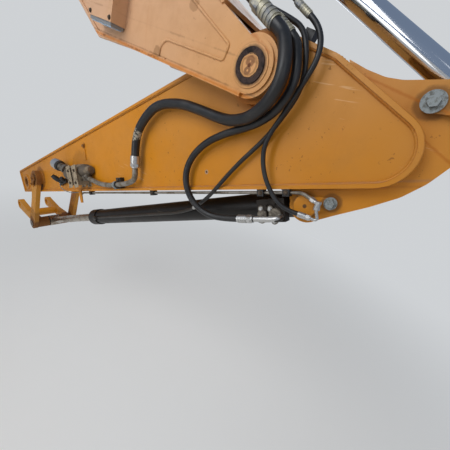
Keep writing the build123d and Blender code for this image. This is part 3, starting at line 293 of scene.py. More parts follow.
def build_weathering():
    """Group: a ramp to a tinted colour, which on the stick is painted sky reflection towards its top, then
    blotches, downward streaks, scratches, chips and dust for outdoor paint.
    """
    group, given, result = new_group(
        "Weathered paint",
        [("Paint", COLOUR, (0.6, 0.3, 0.05, 1)), ("Faded", COLOUR, (0.6, 0.4, 0.2, 1)),
         ("Rust", COLOUR, (0.1, 0.04, 0.02, 1)), ("Wear", FLOAT, 0.5), ("Fade way", VECTOR, (0, 0, 1)),
         ("Fade start", FLOAT, -1.2), ("Fade end", FLOAT, 0.2), ("Dust", COLOUR, tone(150, 104, 52)),
         ("Streak", COLOUR, tone(176, 104, 30)), ("Scrape", COLOUR, tone(216, 178, 132))],
        [("Colour", COLOUR), ("Roughness", FLOAT), ("Height", FLOAT)],
    )
    place = object_place(group)
    # masks
    blotch = patches(group, place, 0.36, 0.68, scale=2.4, detail=4.0, rough=0.6)
    cloud = patches(group, place, 0.42, 0.72, scale=9.0, detail=5.0, rough=0.65)
    downward = stretched(group, place, (11.0, 11.0, 1.1))
    streak = patches(group, downward, 0.60, 0.76, scale=2.0, detail=4.0, rough=0.6)
    speck = patches(group, place, 0.66, 0.70, scale=62.0, rough=0.6)
    chip = times(group, speck, patches(group, place, 0.46, 0.58, scale=4.2))
    lengthwise = stretched(group, place, (3.0, 40.0, 46.0), turn=(0.0, 0.5, 0.0))
    scratch = times(group, patches(group, lengthwise, 0.66, 0.70, scale=3.0, detail=2.0, rough=0.4),
                    patches(group, place, 0.54, 0.62, scale=2.1))
    way = measure(group, "DOT_PRODUCT", place, given["Fade way"])
    drift = calculate(group, "ADD", way, wander(group, place, 0.5, scale=1.6))
    tint_ramp = add_node(group, "ShaderNodeMapRange", [
        ("Value", drift), ("From Min", given["Fade start"]),
        ("From Max", given["Fade end"])]).outputs["Result"]
    # layers of colour, each with its share
    # ramp to the tinted colour: on the stick, the paler top is painted sky reflection
    colour = mix_colour(group, tint_ramp, given["Paint"], given["Faded"])
    for share, layer in (
        (times(group, blotch, 0.22), "Faded"), (times(group, cloud, 0.17), "Dust"),
        (times(group, streak, times(group, given["Wear"], 0.42)), "Streak"),
        (times(group, scratch, 0.42), "Scrape"), (times(group, chip, given["Wear"]), "Rust"),
    ):
        colour = mix_colour(group, share, colour, given[layer])
    group.links.new(colour, result["Colour"])
    rough = plus(group, times(group, cloud, 0.16), 0.40)
    group.links.new(plus(group, rough, times(group, chip, 0.3)), result["Roughness"])
    grain = noise(group, place, 150.0, 2.0, 0.6)
    waves = noise(group, place, 5.0, 1.0, 0.4)
    relief = plus(group, times(group, grain, 0.22), waves)
    height = calculate(group, "SUBTRACT", relief, times(group, chip, 0.5), clamp=True)
    group.links.new(height, result["Height"])
    return group


def build_ring_mask():
    """Group: ragged ring round a pin that runs across the arm."""
    group, given, result = new_group(
        "Ring mask",
        [("Centre", VECTOR, (0, 0, 0)), ("Inner", FLOAT, 0.0), ("Outer", FLOAT, 0.1),
         ("Ragged", FLOAT, 0.02)],
        [("Mask", FLOAT)],
    )
    place = object_place(group)
    off = add_node(group, "ShaderNodeVectorMath", [(0, place), (1, given["Centre"])], operation="SUBTRACT")
    flat = add_node(group, "ShaderNodeVectorMath", [(0, off.outputs["Vector"])], operation="MULTIPLY")
    flat.inputs[1].default_value = (1, 0, 1)
    length = measure(group, "LENGTH", flat.outputs["Vector"])
    radius = calculate(group, "ADD", length, wander(group, place, given["Ragged"], 26.0, 4.0, 0.7))
    inside = add_node(group, "ShaderNodeMapRange", [
        ("Value", radius), ("From Min", calculate(group, "MULTIPLY", given["Outer"], 0.82)),
        ("From Max", given["Outer"])], To_Min=1.0, To_Max=0.0).outputs["Result"]
    outside = calculate(group, "GREATER_THAN", radius, given["Inner"])
    group.links.new(times(group, inside, outside), result["Mask"])
    return group


def build_band_mask():
    """Group: ragged band on both sides of a straight line in the arm's side plane."""
    group, given, result = new_group(
        "Band mask",
        [("Outward", VECTOR, (0, 0, 1)), ("Distance", FLOAT, 0.0), ("Half width", FLOAT, 0.01),
         ("Patches", FLOAT, 0.5)],
        [("Mask", FLOAT)],
    )
    place = object_place(group)
    reach = measure(group, "DOT_PRODUCT", place, given["Outward"])
    off = calculate(group, "ABSOLUTE", calculate(group, "SUBTRACT", reach, given["Distance"]))
    ragged = calculate(group, "ADD", off, wander(group, place, 0.012, 30.0, 4.0, 0.7))
    near = add_node(group, "ShaderNodeMapRange", [("Value", ragged), ("From Max", given["Half width"])],
                    From_Min=0.0, To_Min=1.0, To_Max=0.0).outputs["Result"]
    kept = calculate(group, "GREATER_THAN", noise(group, place, 7.0, 4.0, 0.65), given["Patches"])
    group.links.new(times(group, near, plus(group, times(group, kept, 0.75), 0.25)), result["Mask"])
    return group


def place_group(tree, group, **values):
    """Node group with values on its inputs."""
    return add_node(tree, "ShaderNodeGroup", node_tree=group, **values)


def link_surface(tree, shader, colour, rough, height, strength, distance):
    """Colour, roughness and relief on a shader, the relief with its strength and its distance in metres."""
    tree.links.new(colour, shader.inputs["Base Color"])
    tree.links.new(rough, shader.inputs["Roughness"])
    bump = add_node(tree, "ShaderNodeBump", [("Height", height)], Strength=strength, Distance=distance)
    tree.links.new(bump.outputs["Normal"], shader.inputs["Normal"])


def paint_material(name, groups, wear, colours, tint_ramp, rings=(), bands=(), **stains):
    """Painted steel: weathering, then rings round pins and bands along edges, of stains and of painted shade.

    The colours are the paint, a tinted paint and rust. The tint ramp has a direction, and its start and end
    in metres from the stick's pivot; on the stick it is painted sky reflection. Lengths of rings and bands
    are in mm.
    """
    tree, shader = new_material(name)[1:]
    paint, tinted, rust = colours
    way, start, end = tint_ramp
    zero = way.dot(arm_point(*PIVOT))
    weathered = place_group(
        tree, groups["paint"], Paint=paint, Faded=tinted, Rust=rust, Wear=wear, Fade_way=way,
        Fade_start=zero + start, Fade_end=zero + end, **stains).outputs
    colour, rough = weathered["Colour"], weathered["Roughness"]
    for x, y, inner, outer, ragged, stain_and_shade, share in rings:
        mask = place_group(tree, groups["ring"], Centre=arm_point(x, y), Inner=inner / 1000,
                           Outer=outer / 1000, Ragged=ragged / 1000).outputs["Mask"]
        mask = times(tree, mask, share)
        colour = mix_colour(tree, mask, colour, stain_and_shade)
        rough = plus(tree, rough, times(tree, mask, 0.25))
    for degrees, distance, half_width, clean, stain_and_shade, share in bands:
        outward = arm_way(*turned(degrees))
        mask = place_group(tree, groups["band"], Outward=outward, Half_width=half_width / 1000, Patches=clean,
                           Distance=outward.dot(arm_point(*PIVOT)) + distance / 1000).outputs["Mask"]
        colour = mix_colour(tree, times(tree, mask, share), colour, stain_and_shade)
    link_surface(tree, shader, colour, rough, weathered["Height"], 0.30, 0.0012)
    shader.inputs["Specular IOR Level"].default_value = 0.28


def metal_material(name, colour, tarnish_and_reflection, roughness, metallic, scale, relief):
    """Bare or plated metal with tarnish in patches and fine scratches; the glass's pale blue colour and its
    paler patches are a painted reflection.
    """
    tree, shader = new_material(name)[1:]
    place = object_place(tree)
    patch = patches(tree, place, 0.42, 0.68, scale, 4.0, 0.65)
    tarnish_and_reflection_mix = mix_colour(tree, patch, colour, tarnish_and_reflection)
    rough = plus(tree, times(tree, patch, 0.22), roughness)
    scratch = plus(tree, noise(tree, place, scale * 9, 2.0, 0.6), patch)
    link_surface(tree, shader, tarnish_and_reflection_mix, rough, scratch, relief, 0.0006)
    shader.inputs["Metallic"].default_value = metallic


def dull_material(name, colour, dusty, roughness):
    """Rubber, plastic or a dirty shell with dust in patches."""
    tree, shader = new_material(name)[1:]
    place = object_place(tree)
    dust = patches(tree, place, 0.45, 0.8, 25.0, 4.0, 0.6)
    mixed = mix_colour(tree, times(tree, dust, 0.45), colour, dusty)
    rough = plus(tree, times(tree, dust, 0.2), roughness)
    link_surface(tree, shader, mixed, rough, noise(tree, place, 400.0, 2.0, 0.5), 0.15, 0.0004)


def rubber_material(name, ring_group):
    """Hose cover: dull black, dusty, with a pale scuff on the large hose's bend."""
    tree, shader = new_material(name)[1:]
    place = object_place(tree)
    dust = patches(tree, place, 0.40, 0.80, 14.0, 5.0, 0.65)
    worn = patches(tree, place, 0.62, 0.74, 60.0, 3.0, 0.6)
    torn = patches(tree, place, 0.46, 0.56, 85.0, 3.0, 0.7)
    scuff = place_group(tree, ring_group, Centre=arm_point(-786, -112), Inner=0.0, Outer=0.040, Ragged=0.05)
    scuffed = times(tree, scuff.outputs["Mask"], torn)
    colour = mix_colour(tree, times(tree, dust, 0.26), tone(21, 21, 22), tone(76, 70, 64))
    colour = mix_colour(tree, times(tree, worn, 0.25), colour, tone(70, 68, 66))
    colour = mix_colour(tree, times(tree, scuffed, 0.9), colour, tone(168, 160, 142))
    rough = plus(tree, times(tree, dust, 0.2), 0.40)
    weave = plus(tree, noise(tree, place, 320.0, 2.0, 0.5), times(tree, noise(tree, place, 24.0), 0.6))
    link_surface(tree, shader, colour, rough, weave, 0.22, 0.0006)


# the first colour is painted shade: the dark dot for the dimple at a pin's centre
DIMPLE_SHADE, ORANGE, SEAM, BARE_METAL = tone(74, 54, 38), tone(178, 100, 30), tone(120, 80, 38), tone(150, 140, 126)
# the second colour is painted shade: the darker orange of the crease at the foot of the stick's rim weld
GREASE, WELD_FOOT_SHADE = tone(50, 36, 32), tone(170, 98, 22)


def paint_stick(groups, settings):
    """Paint of the stick: one for its big plates, and one with stained edges for the rest."""
    rust = tuple(settings.rust_colour)
    colours = (tuple(settings.stick_colour), tuple(settings.stick_painted_reflection), rust)
    # painted sky reflection: the ramp turns the stick's paint paler and pinker towards its top
    look = (groups, settings.wear, colours, (arm_way(0.35, 0.94), -0.34, 0.22))
    rings = (
        # side plane x and y, inner radius, outer radius, raggedness, colour (stains, and painted shade in the
        # dark centre dots), share
        (*PIVOT, 70, 150, 30, ORANGE, 0.55), (*PIVOT, 92, 118, 26, rust, 0.55),
        (*NOSE_PIN, 30, 62, 20, rust, 0.7), (*ROCKER_PIVOT, 30, 120, 40, rust, 0.55),
        # painted shade: the dark dots with inner radius 0, at the tool foot and at x -321, stand for dimples
        # in their centres
        (*TOOL_FOOT, 0, 9, 2, DIMPLE_SHADE, 0.9), (*TOOL_FOOT, 44, 60, 16, SEAM, 0.6),
        (*LIFT_EYE, 40, 86, 30, SEAM, 0.5), (526, -205, 22, 52, 22, SEAM, 0.7),
        (262, -502, 18, 40, 18, SEAM, 0.7), (-321, -357, 0, 6, 1, DIMPLE_SHADE, 1.0),
        (-321, -357, 6, 12, 4, BARE_METAL, 0.7), (-1541, -98, 8, 26, 16, SEAM, 0.6),
        (-1640, -300, 60, 190, 90, SEAM, 0.35),
    )
    bands = (
        # outward angle, distance from the pivot, half width, noise level below which it fades, colour
        # (stains, and painted shade in the crease rows), share
        (270.0, 444.0, 9.0, 0.50, ORANGE, 0.85), (270.0, 445.0, 5.0, 0.60, rust, 0.6),
        (96.28, 146.0, 8.0, 0.52, ORANGE, 0.7), (96.28, 149.0, 4.0, 0.56, rust, 0.7),
        # painted shade: the four bands 18 mm inside the edges, at 427, 131, 174 and 131, darken the crease at
        # the foot of the rim's weld
        (270.0, 427.0, 6.0, 0.20, tone(158, 112, 76), 0.6), (96.28, 131.0, 5.0, 0.30, SEAM, 0.55),
        (42.4, 174.0, 6.0, 0.10, WELD_FOOT_SHADE, 0.75), (54.4, 131.0, 6.0, 0.20, WELD_FOOT_SHADE, 0.7),
        (189.7, 3176.0, 9.0, 0.45, rust, 0.7),
    )
    paint_material("stick plate paint", *look, rings=rings)
    paint_material("stick paint", *look, rings=rings, bands=bands)


def paint_linkage(groups, settings):
    """Rustier paint of the rockers and the tool link, with the columns of the stick's rings."""
    rust = tuple(settings.rust_colour)
    paint_material(
        "linkage paint", groups, min(settings.wear * 1.5, 1.0),
        (tone(202, 134, 22), tone(186, 130, 50), rust), (arm_way(0.0, 1.0), -0.7, 0.1),
        rings=(
            (*ROCKER_PIVOT, 0, 92, 40, rust, 0.75), (*ROCKER_END, 0, 96, 44, rust, 0.8),
            (*ROCKER_END, 60, 230, 120, SEAM, 0.5),
        ),
    )


def paint_boom(groups, settings):
    """Paint of the boom, paler towards its upper part, with the columns of the stick's rings and bands."""
    rust = tuple(settings.rust_colour)
    colours = (tuple(settings.boom_colour), tuple(settings.boom_upper_tint), rust)
    paint_material(
        "boom paint", groups, settings.wear * 0.7, colours, (arm_way(-0.5, 0.87), 0.02, 0.75),
        rings=(
            # painted shade: the dark dot at the pin's centre stands for its dimple
            (*PIVOT, 0, 7, 1, DIMPLE_SHADE, 1.0), (*PIVOT, 26, 38, 18, SEAM, 0.5),
            (*PIVOT, 37, 47, 16, GREASE, 0.95), (*PIVOT, 56, 70, 16, GREASE, 0.95),
            (6, 12, 4, 20, 18, tone(110, 64, 40), 0.7), (-8, -14, 3, 15, 14, tone(96, 56, 38), 0.7),
            (*PIVOT, 71, 77, 8, SEAM, 0.8), (*PIVOT, 86, 90, 4, ORANGE, 0.5),
            (-487, 187, 0, 34, 34, SEAM, 0.5), (-240, 290, 0, 30, 30, SEAM, 0.4),
            (*ROOT, 84, 110, 22, SEAM, 0.6),
        ),
        bands=(
            (240.3, 97.0, 10.0, 0.30, tone(206, 122, 28), 0.85), (240.3, 97.0, 8.0, 0.58, rust, 0.7),
            # painted shade: the band at 84 mm darkens the side plate along the foot of the underside weld,
            # under the lower flange
            (240.3, 84.0, 5.0, 0.45, SEAM, 0.5), (37.8, 71.0, 9.0, 0.50, ORANGE, 0.6),
            (60.3, 15.0, 5.0, 0.5, SEAM, 0.35),
        ),
    )


def paint_dark_parts(groups, settings):
    """Dirty dark paint of the pipes and of the tool cylinder."""
    paint_material(
        "pipe paint", groups, 0.6, (tone(34, 31, 28), tone(70, 64, 58), tuple(settings.rust_colour)),
        (arm_way(0.0, 1.0), -1.0, 1.0), Dust=tone(84, 74, 62), Streak=tone(60, 50, 40),
        Scrape=tone(132, 122, 108))
    paint_material(
        "dark paint", groups, 0.5, (tone(17, 15, 14), tone(34, 29, 24), tone(58, 36, 24)),
        (arm_way(0.0, -1.0), 0.2, 1.6), rings=((*TOOL_FOOT, 50, 260, 120, tone(58, 48, 38), 0.4),),
        Dust=tone(40, 33, 26), Streak=tone(30, 25, 20), Scrape=tone(112, 98, 82))


METALS = (
    # name, colour, tarnish (on the glass, paler painted reflection), roughness, metallic share, scale of the
    # tarnish, strength of the relief
    ("pin steel", tone(132, 118, 104), tone(78, 54, 40), 0.42, 0.7, 30.0, 0.12),
    ("chrome", tone(214, 216, 220), tone(196, 195, 192), 0.08, 1.0, 4.0, 0.12),
    ("worn chrome", tone(168, 158, 144), tone(132, 118, 100), 0.20, 0.9, 9.0, 0.12),
    ("rusty steel", tone(58, 40, 34), tone(24, 19, 18), 0.8, 0.0, 40.0, 1.0),
    ("galvanised", tone(142, 148, 148), tone(112, 112, 106), 0.50, 0.5, 110.0, 0.5),
    ("zinc", tone(104, 107, 110), tone(76, 70, 58), 0.52, 0.75, 34.0, 0.12),
    ("yellow zinc", tone(176, 170, 148), tone(120, 124, 132), 0.46, 0.6, 26.0, 0.12),
    ("pipe zinc", tone(142, 136, 126), tone(104, 92, 74), 0.44, 0.5, 18.0, 0.12),
    ("worn steel", tone(132, 124, 112), tone(66, 56, 46), 0.44, 0.7, 44.0, 0.4),
    ("pale casting", tone(152, 136, 112), tone(92, 80, 64), 0.62, 0.1, 40.0, 0.3),
    ("cast iron", tone(82, 72, 60), tone(132, 116, 94), 0.66, 0.1, 20.0, 0.3),
    ("dark bolt", tone(74, 64, 54), tone(112, 92, 70), 0.52, 0.5, 60.0, 0.12),
    # painted reflection: the glass's pale blue colour and paler patches stand in for the sky it reflects
    ("glass", tone(150, 176, 200), tone(190, 204, 214), 0.06, 0.0, 3.0, 0.12),
)

DULL_FINISHES = (
    # name, colour, dusty colour, roughness
    ("black plastic", tone(24, 24, 25), tone(84, 78, 70), 0.45),
    ("lamp shell", tone(120, 122, 124), tone(152, 148, 140), 0.42),
    # this rubber also colours the black disc that is painted shade for the cap's recess
    ("seal rubber", tone(28, 27, 26), tone(92, 82, 68), 0.5),
)

FINISHES = {
    # material: the CAD nodes that wear it
    "stick plate paint": ("stick_wrapper", "stick_top_plate"),
    "stick paint": ("stick_side_plates", "stick_nose_boss", "stick_rear_ears",
                    "scallop_plates", "stick_pivot_boss", "rocker_pivot_boss", "lift_gland", "lift_barrel",
                    "pin_keepers", "stick_tabs"),
    "linkage paint": ("rockers", "tool_link", "rocker_keepers"),
    "boom paint": ("boom_nose_cheeks", "boom_side_plates", "boom_bottom_plate", "boom_top_plate",
                   "boom_closing_plate", "boom_root_boss", "boom_foot_ears", "stick_pivot_pin", "lamp_guard"),
    "dark paint": ("tool_barrel", "tool_gland", "tool_port_block"),
    "pin steel": ("lift_foot_pin", "rocker_pivot_pin", "lift_eye_pin_ends", "tool_foot_pin", "lift_eye_pin",
                  "tool_eye_pin", "rocker_end_pins"),
    "chrome": ("lift_rod",),
    "worn chrome": ("tool_rod",),
    "rusty steel": ("pivot_pin_collars",),
    "galvanised": ("keeper_bolts",),
    "zinc": ("stick_hose_crimps", "tool_hose_crimps", "rear_fitting", "valve_cap"),
    "yellow zinc": ("boom_hose_crimps",),
    "pipe zinc": ("valve_pipe", "drain_tube"),
    "cast iron": ("shutoff_valve",),
    "black plastic": ("boom_pipe_clamps", "stick_clamps", "test_port"),
    "lamp shell": ("work_lamp",),
    "hose rubber": ("hose_a", "hose_b", "hose_c", "hose_d"),
    "pipe paint": ("boom_pipes", "tool_pipes", "lift_pipes"),
}


class ARM_OT_finishes(bpy.types.Operator):
    """Make the finishes and put one on every solid of the arm"""

    bl_idname = "arm.finishes"
    bl_label = "Finish the Solids"

    def execute(self, context):
        groups = {"paint": build_weathering(), "ring": build_ring_mask(), "band": build_band_mask()}
        for paint in (paint_stick, paint_linkage, paint_boom, paint_dark_parts):
            paint(groups, context.scene.arm_paint)
        for metal in METALS:
            metal_material(*metal)
        for finish in DULL_FINISHES:
            dull_material(*finish)
        rubber_material("hose rubber", groups["ring"])
        for finish, names in FINISHES.items():
            for name in names:
                mesh = NODES[name].data
                mesh.materials.clear()
                mesh.materials.append(bpy.data.materials[finish])
        return {"FINISHED"}


HOSES = {
    # radius setting, real length in metres, the side plane points between which the hose goes over from
    # the boom to the stick, then its route: side plane x, y and depth
    "hose_a": ("main_radius", 1.34, (91, 107), (-400, -60), (
        (91.5, 107.3, -240), (116.6, 74.8, -240), (130, 40, -256), (141, -28, -278), (124, -96, -284),
        (68, -144, -270), (-6, -168, -248), (-80, -168, -228), (-160, -148, -212), (-292, -84, -202),
        (-390, -40, -200), (-476, -17, -200), (-560, -6, -200), (-640, -18, -200), (-751, -78, -200),
        (-812, -160, -200), (-830, -236, -200))),
    "hose_b": ("middle_radius", 1.30, (127, 80), (-300, -480), (
        (127.9, 79.8, -192), (145.4, 57.3, -192), (157, 14, -215), (163, -42, -232), (150, -104, -238),
        (100, -154, -232), (30, -182, -216), (-50, -194, -203), (-168, -201, -196), (-279, -222, -190),
        (-378, -276, -190), (-432, -351, -190), (-436, -436, -190), (-402, -516, -178), (-335, -570, -162),
        (-245, -588, -152), (-150, -584, -150))),
    "hose_c": ("small_radius", 1.36, (156, 102), (-330, -494), (
        (-132.4, 394.3, -105), (-122.1, 381, -105), (-60, 308, -106), (30, 224, -122), (108, 154, -143),
        (156, 102, -165), (178, 38, -187), (174, -54, -183), (146, -116, -182), (104, -162, -181),
        (66, -198, -179), (16, -244, -179), (-50, -288, -179), (-111, -328, -179), (-191, -390, -179),
        (-262, -450, -180), (-330, -494, -168), (-420, -528, -130))),
    "hose_d": ("small_radius", 0.80, (199, 101), (58, -482), (
        (189.3, 114.8, -187), (199.6, 101.6, -187), (219, 66, -189), (228, 22, -197), (220, -22, -203),
        (198, -58, -205), (168, -94, -205), (134, -132, -204), (94, -182, -203), (50, -228, -202),
        (22, -274, -200), (12, -322, -196), (14, -376, -192), (30, -430, -190), (58, -482, -188),
        (100, -524, -184), (150, -541, -178))),
}


def evaluated_mesh(holder):
    """Plain mesh of an object as it is now, with its modifiers."""
    depsgraph = bpy.context.evaluated_depsgraph_get()
    return bpy.data.meshes.new_from_object(holder.evaluated_get(depsgraph))


def curve_mesh(name, points, radius):
    """Mesh tube on one smooth line through metre points, and the points of that line."""
    curve = bpy.data.curves.new(name + " line", "CURVE")
    curve.dimensions = "3D"
    curve.resolution_u = 10
    spline = curve.splines.new("NURBS")
    spline.points.add(len(points) - 1)
    for point, place in zip(spline.points, points):
        point.co = (*place, 1.0)
    spline.order_u = 3
    spline.use_endpoint_u = True
    holder = bpy.data.objects.new(name + " line", curve)
    bpy.context.collection.objects.link(holder)
    path = [tuple(v.co) for v in evaluated_mesh(holder).vertices]
    curve.bevel_depth = radius
    curve.bevel_resolution = 8
    curve.use_fill_caps = True
    tube = evaluated_mesh(holder)
    bpy.data.objects.remove(holder)
    # the round wall is smooth and the caps are flat
    for polygon in tube.polygons:
        polygon.use_smooth = len(polygon.vertices) == 4
    return tube, path


class ARM_OT_hoses(bpy.types.Operator):
    """Lay the four hoses that cross the stick's pivot"""

    bl_idname = "arm.hoses"
    bl_label = "Lay the Hoses"

    def execute(self, context):
        for node, (setting, length, first, last, route) in HOSES.items():
            radius = getattr(context.scene.arm_hoses, setting)
            points = arm_points(route)
            mesh, path = curve_mesh(node, points, radius)
            hose = bpy.data.objects.new(node + "_laid", mesh)
            context.collection.objects.link(hose)
            mesh.materials.append(bpy.data.materials["hose rubber"])
            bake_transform(hose)
            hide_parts(node)
        return {"FINISHED"}


def geometry_tree(name, inputs):
    """Geometry tree with its inputs, what comes into it and what it gives."""
    tree = bpy.data.node_groups.new(name, "GeometryNodeTree")
    tree.interface.new_socket(name="Geometry", in_out="INPUT", socket_type="NodeSocketGeometry")
    for socket, default in inputs:
        tree.interface.new_socket(name=socket, in_out="INPUT", socket_type=FLOAT).default_value = default
    tree.interface.new_socket(name="Material", in_out="INPUT", socket_type="NodeSocketMaterial")
    tree.interface.new_socket(name="Geometry", in_out="OUTPUT", socket_type="NodeSocketGeometry")
    return tree, tree.nodes.new("NodeGroupInput").outputs, tree.nodes.new("NodeGroupOutput").inputs


def close_tree(tree, given, result, geometry):
    """Realised instances with their material, as the tree's result."""
    real = add_node(tree, "GeometryNodeRealizeInstances", [("Geometry", geometry)])
    painted = add_node(tree, "GeometryNodeSetMaterial", [
        ("Geometry", real.outputs["Geometry"]), ("Material", given["Material"])])
    tree.links.new(painted.outputs["Geometry"], result["Geometry"])


def build_weld_tree():
    """Rippled bead along the edges of a mesh whose corners carry a rounding."""
    tree, given, result = geometry_tree(
        "Weld bead", [("Radius", 0.006), ("Ripple", 0.012), ("Ripple depth", 0.16)])
    line = add_node(tree, "GeometryNodeMeshToCurve", [("Mesh", given["Geometry"])]).outputs["Curve"]
    rounding = add_node(tree, "GeometryNodeInputNamedAttribute", Name="rounding").outputs["Attribute"]
    bent = add_node(tree, "GeometryNodeFilletCurve", [("Curve", line), ("Radius", rounding)], mode="POLY",
                    Count=14, Limit_Radius=True)
    step = calculate(tree, "MULTIPLY", given["Ripple"], 0.34)
    even = add_node(tree, "GeometryNodeResampleCurve", [("Curve", bent.outputs["Curve"]), ("Length", step)],
                    mode="LENGTH")
    # the bead swells and shrinks once in each ripple, and drifts slowly
    run = tree.nodes.new("GeometryNodeSplineParameter").outputs["Length"]
    turns = calculate(tree, "MULTIPLY", calculate(tree, "DIVIDE", run, given["Ripple"]), math.tau)
    wave = calculate(tree, "MULTIPLY", calculate(tree, "SINE", turns), given["Ripple depth"])
    drift = add_node(tree, "ShaderNodeTexNoise", Scale=22.0, Detail=2.0).outputs["Fac"]
    size = calculate(tree, "ADD", calculate(tree, "ADD", wave, 0.8), calculate(tree, "MULTIPLY", drift, 0.4))
    ring = add_node(tree, "GeometryNodeCurvePrimitiveCircle", [("Radius", given["Radius"])], Resolution=7)
    bead = add_node(tree, "GeometryNodeCurveToMesh", [
        ("Curve", even.outputs["Curve"]), ("Profile Curve", ring.outputs["Curve"]), ("Scale", size)],
        Fill_Caps=True)
    smooth = add_node(tree, "GeometryNodeSetShadeSmooth", [("Geometry", bead.outputs["Mesh"])])
    close_tree(tree, given, result, smooth.outputs["Geometry"])
    return tree


def build_bolt_tree():
    """Chamfered hexagon head on a washer at each point, facing the way the point carries."""
    tree, given, result = geometry_tree("Bolts", [])
    joined = tree.nodes.new("GeometryNodeJoinGeometry")
    for label, sides, low, high, depth, lift in (
        # sides, radius at the foot and at the top, depth and height above the seat, for a head radius of 1
        ("washer", 24, 1.30, 1.30, 0.22, 0.0), ("head", 6, 1.0, 1.0, 0.50, 0.22),
        ("chamfer", 6, 1.0, 0.84, 0.14, 0.72),
    ):
        cone = add_node(tree, "GeometryNodeMeshCone", label=label, Vertices=sides, Radius_Top=high,
                        Radius_Bottom=low, Depth=depth)
        lifted = add_node(tree, "GeometryNodeTransform", [("Geometry", cone.outputs["Mesh"])],
                          Translation=(0, 0, lift))
        tree.links.new(lifted.outputs["Geometry"], joined.inputs["Geometry"])
    way = add_node(tree, "GeometryNodeInputNamedAttribute", data_type="FLOAT_VECTOR", Name="way")
    size = add_node(tree, "GeometryNodeInputNamedAttribute", Name="size")
    facing = add_node(
        tree, "FunctionNodeAlignRotationToVector", [("Vector", way.outputs["Attribute"])], axis="Z")
    placed = add_node(tree, "GeometryNodeInstanceOnPoints", [
        ("Points", given["Geometry"]), ("Instance", joined.outputs["Geometry"]),
        ("Rotation", facing.outputs["Rotation"]), ("Scale", size.outputs["Attribute"])])
    # output 1 is a number from 0 to 1, here a turn in radians
    spin = add_node(tree, "FunctionNodeRandomValue", Seed=7)
    angle = add_node(tree, "ShaderNodeCombineXYZ", [("Z", spin.outputs[1])])
    spun = add_node(tree, "GeometryNodeRotateInstances", [
        ("Instances", placed.outputs["Instances"]), ("Rotation", angle.outputs["Vector"])])
    close_tree(tree, given, result, spun.outputs["Instances"])
    return tree


def grown(name, mesh, tree, values):
    """Plain mesh that a geometry tree makes from a mesh, with input values by their names."""
    holder = bpy.data.objects.new(name + " seed", mesh)
    bpy.context.collection.objects.link(holder)
    modifier = holder.modifiers.new(name, "NODES")
    modifier.node_group = tree
    for item in tree.interface.items_tree:
        if item.item_type == "SOCKET" and item.in_out == "INPUT" and item.name in values:
            modifier[item.identifier] = values[item.name]
    result = evaluated_mesh(holder)
    bpy.data.objects.remove(holder)
    result.name = name
    return result


def add_piece(name, mesh, body, finish=None, replaced=()):
    """Object for a finished mesh, riding on a body."""
    piece = bpy.data.objects.new(name, mesh)
    bpy.context.collection.objects.link(piece)
    if finish:
        mesh.materials.clear()
        mesh.materials.append(bpy.data.materials[finish])
    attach(piece, body)
    if replaced:
        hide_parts(*replaced)


# points this near to each other merge, a radius below this is a pole, and edges above this angle are bevelled
MERGED, POLE, SHARP = 0.00002, 0.00005, math.radians(28)


def close_shape(name, shape, bevel=0.0, segments=2, angle=35.0):
    """Mesh of a built shape: doubles merged, edges bevelled, faces outwards and shaded by angle."""
    bmesh.ops.remove_doubles(shape, verts=shape.verts, dist=MERGED)
    if bevel:
        edges = [e for e in shape.edges if len(e.link_faces) == 2 and e.calc_face_angle(0.0) > SHARP]
        bmesh.ops.bevel(shape, geom=edges, offset=bevel, segments=segments, profile=0.6, affect="EDGES",
                        clamp_overlap=True)
    bmesh.ops.recalc_face_normals(shape, faces=shape.faces)
    mesh = bpy.data.meshes.new(name)
    shape.to_mesh(mesh)
    shape.free()
    mesh.shade_smooth()
    mesh.set_sharp_from_angle(angle=math.radians(angle))
    return mesh


def add_prism(shape, corners, depth, thickness):
    """Plate with side plane corners, from a depth outwards on the hose side."""
    front = [shape.verts.new(arm_point(x, y, depth)) for x, y in corners]
    back = [shape.verts.new(arm_point(x, y, depth - thickness)) for x, y in corners]
    shape.faces.new(front)
    shape.faces.new(reversed(back))
    for index in range(len(corners)):
        other = (index + 1) % len(corners)
        shape.faces.new((front[index], front[other], back[other], back[index]))


def add_lathe(shape, start, end, profile, sides=32):
    """Turned shape between two points of side plane x, y and depth, its open ends closed.

    The profile has rows of the share of the length and the radius in metres.
    """
    start, end = arm_point(*start), arm_point(*end)
    way = end - start
    across = way.orthogonal().normalized()
    over = way.normalized().cross(across)
    angles = [math.tau * k / sides for k in range(sides)]
    rings = []
    for share, radius in profile:
        centre = start + way * share
        if radius < POLE:
            rings.append([shape.verts.new(centre)])
            continue
        rings.append([
            shape.verts.new(centre + (across * math.cos(angle) + over * math.sin(angle)) * radius)
            for angle in angles])
    for low, high in zip(rings, rings[1:]):
        for k in range(sides):
            n = (k + 1) % sides
            corners = [low[k % len(low)], low[n % len(low)], high[n % len(high)], high[k % len(high)]]
            corners = list(dict.fromkeys(corners))
            if len(corners) > 2:
                shape.faces.new(corners)
    for ring in (rings[0], rings[-1]):
        if len(ring) > 1:
            shape.faces.new(ring)


def ring_points(x, y, radius, count=36):
    """Side plane points of a circle."""
    return [(x + radius * math.cos(math.tau * k / count), y + radius * math.sin(math.tau * k / count))
            for k in range(count)]


def mirrored(rows):
    """Rows of side plane points, depth and roundings, and the same on the far side."""
    return rows + [(points, -depth, rounding, closed) for points, depth, rounding, closed in rows]


def stick_line(inset):
    """Corners and roundings of the stick's outline, drawn in by an inset."""
    edges = [(degrees, distance - inset) for degrees, distance in STICK_EDGES]
    points = [crossing(edges[k], edges[(k + 1) % len(edges)]) for k in range(len(edges))]
    return points, [max(radius - inset, 4.0) for radius in STICK_ROUNDING]


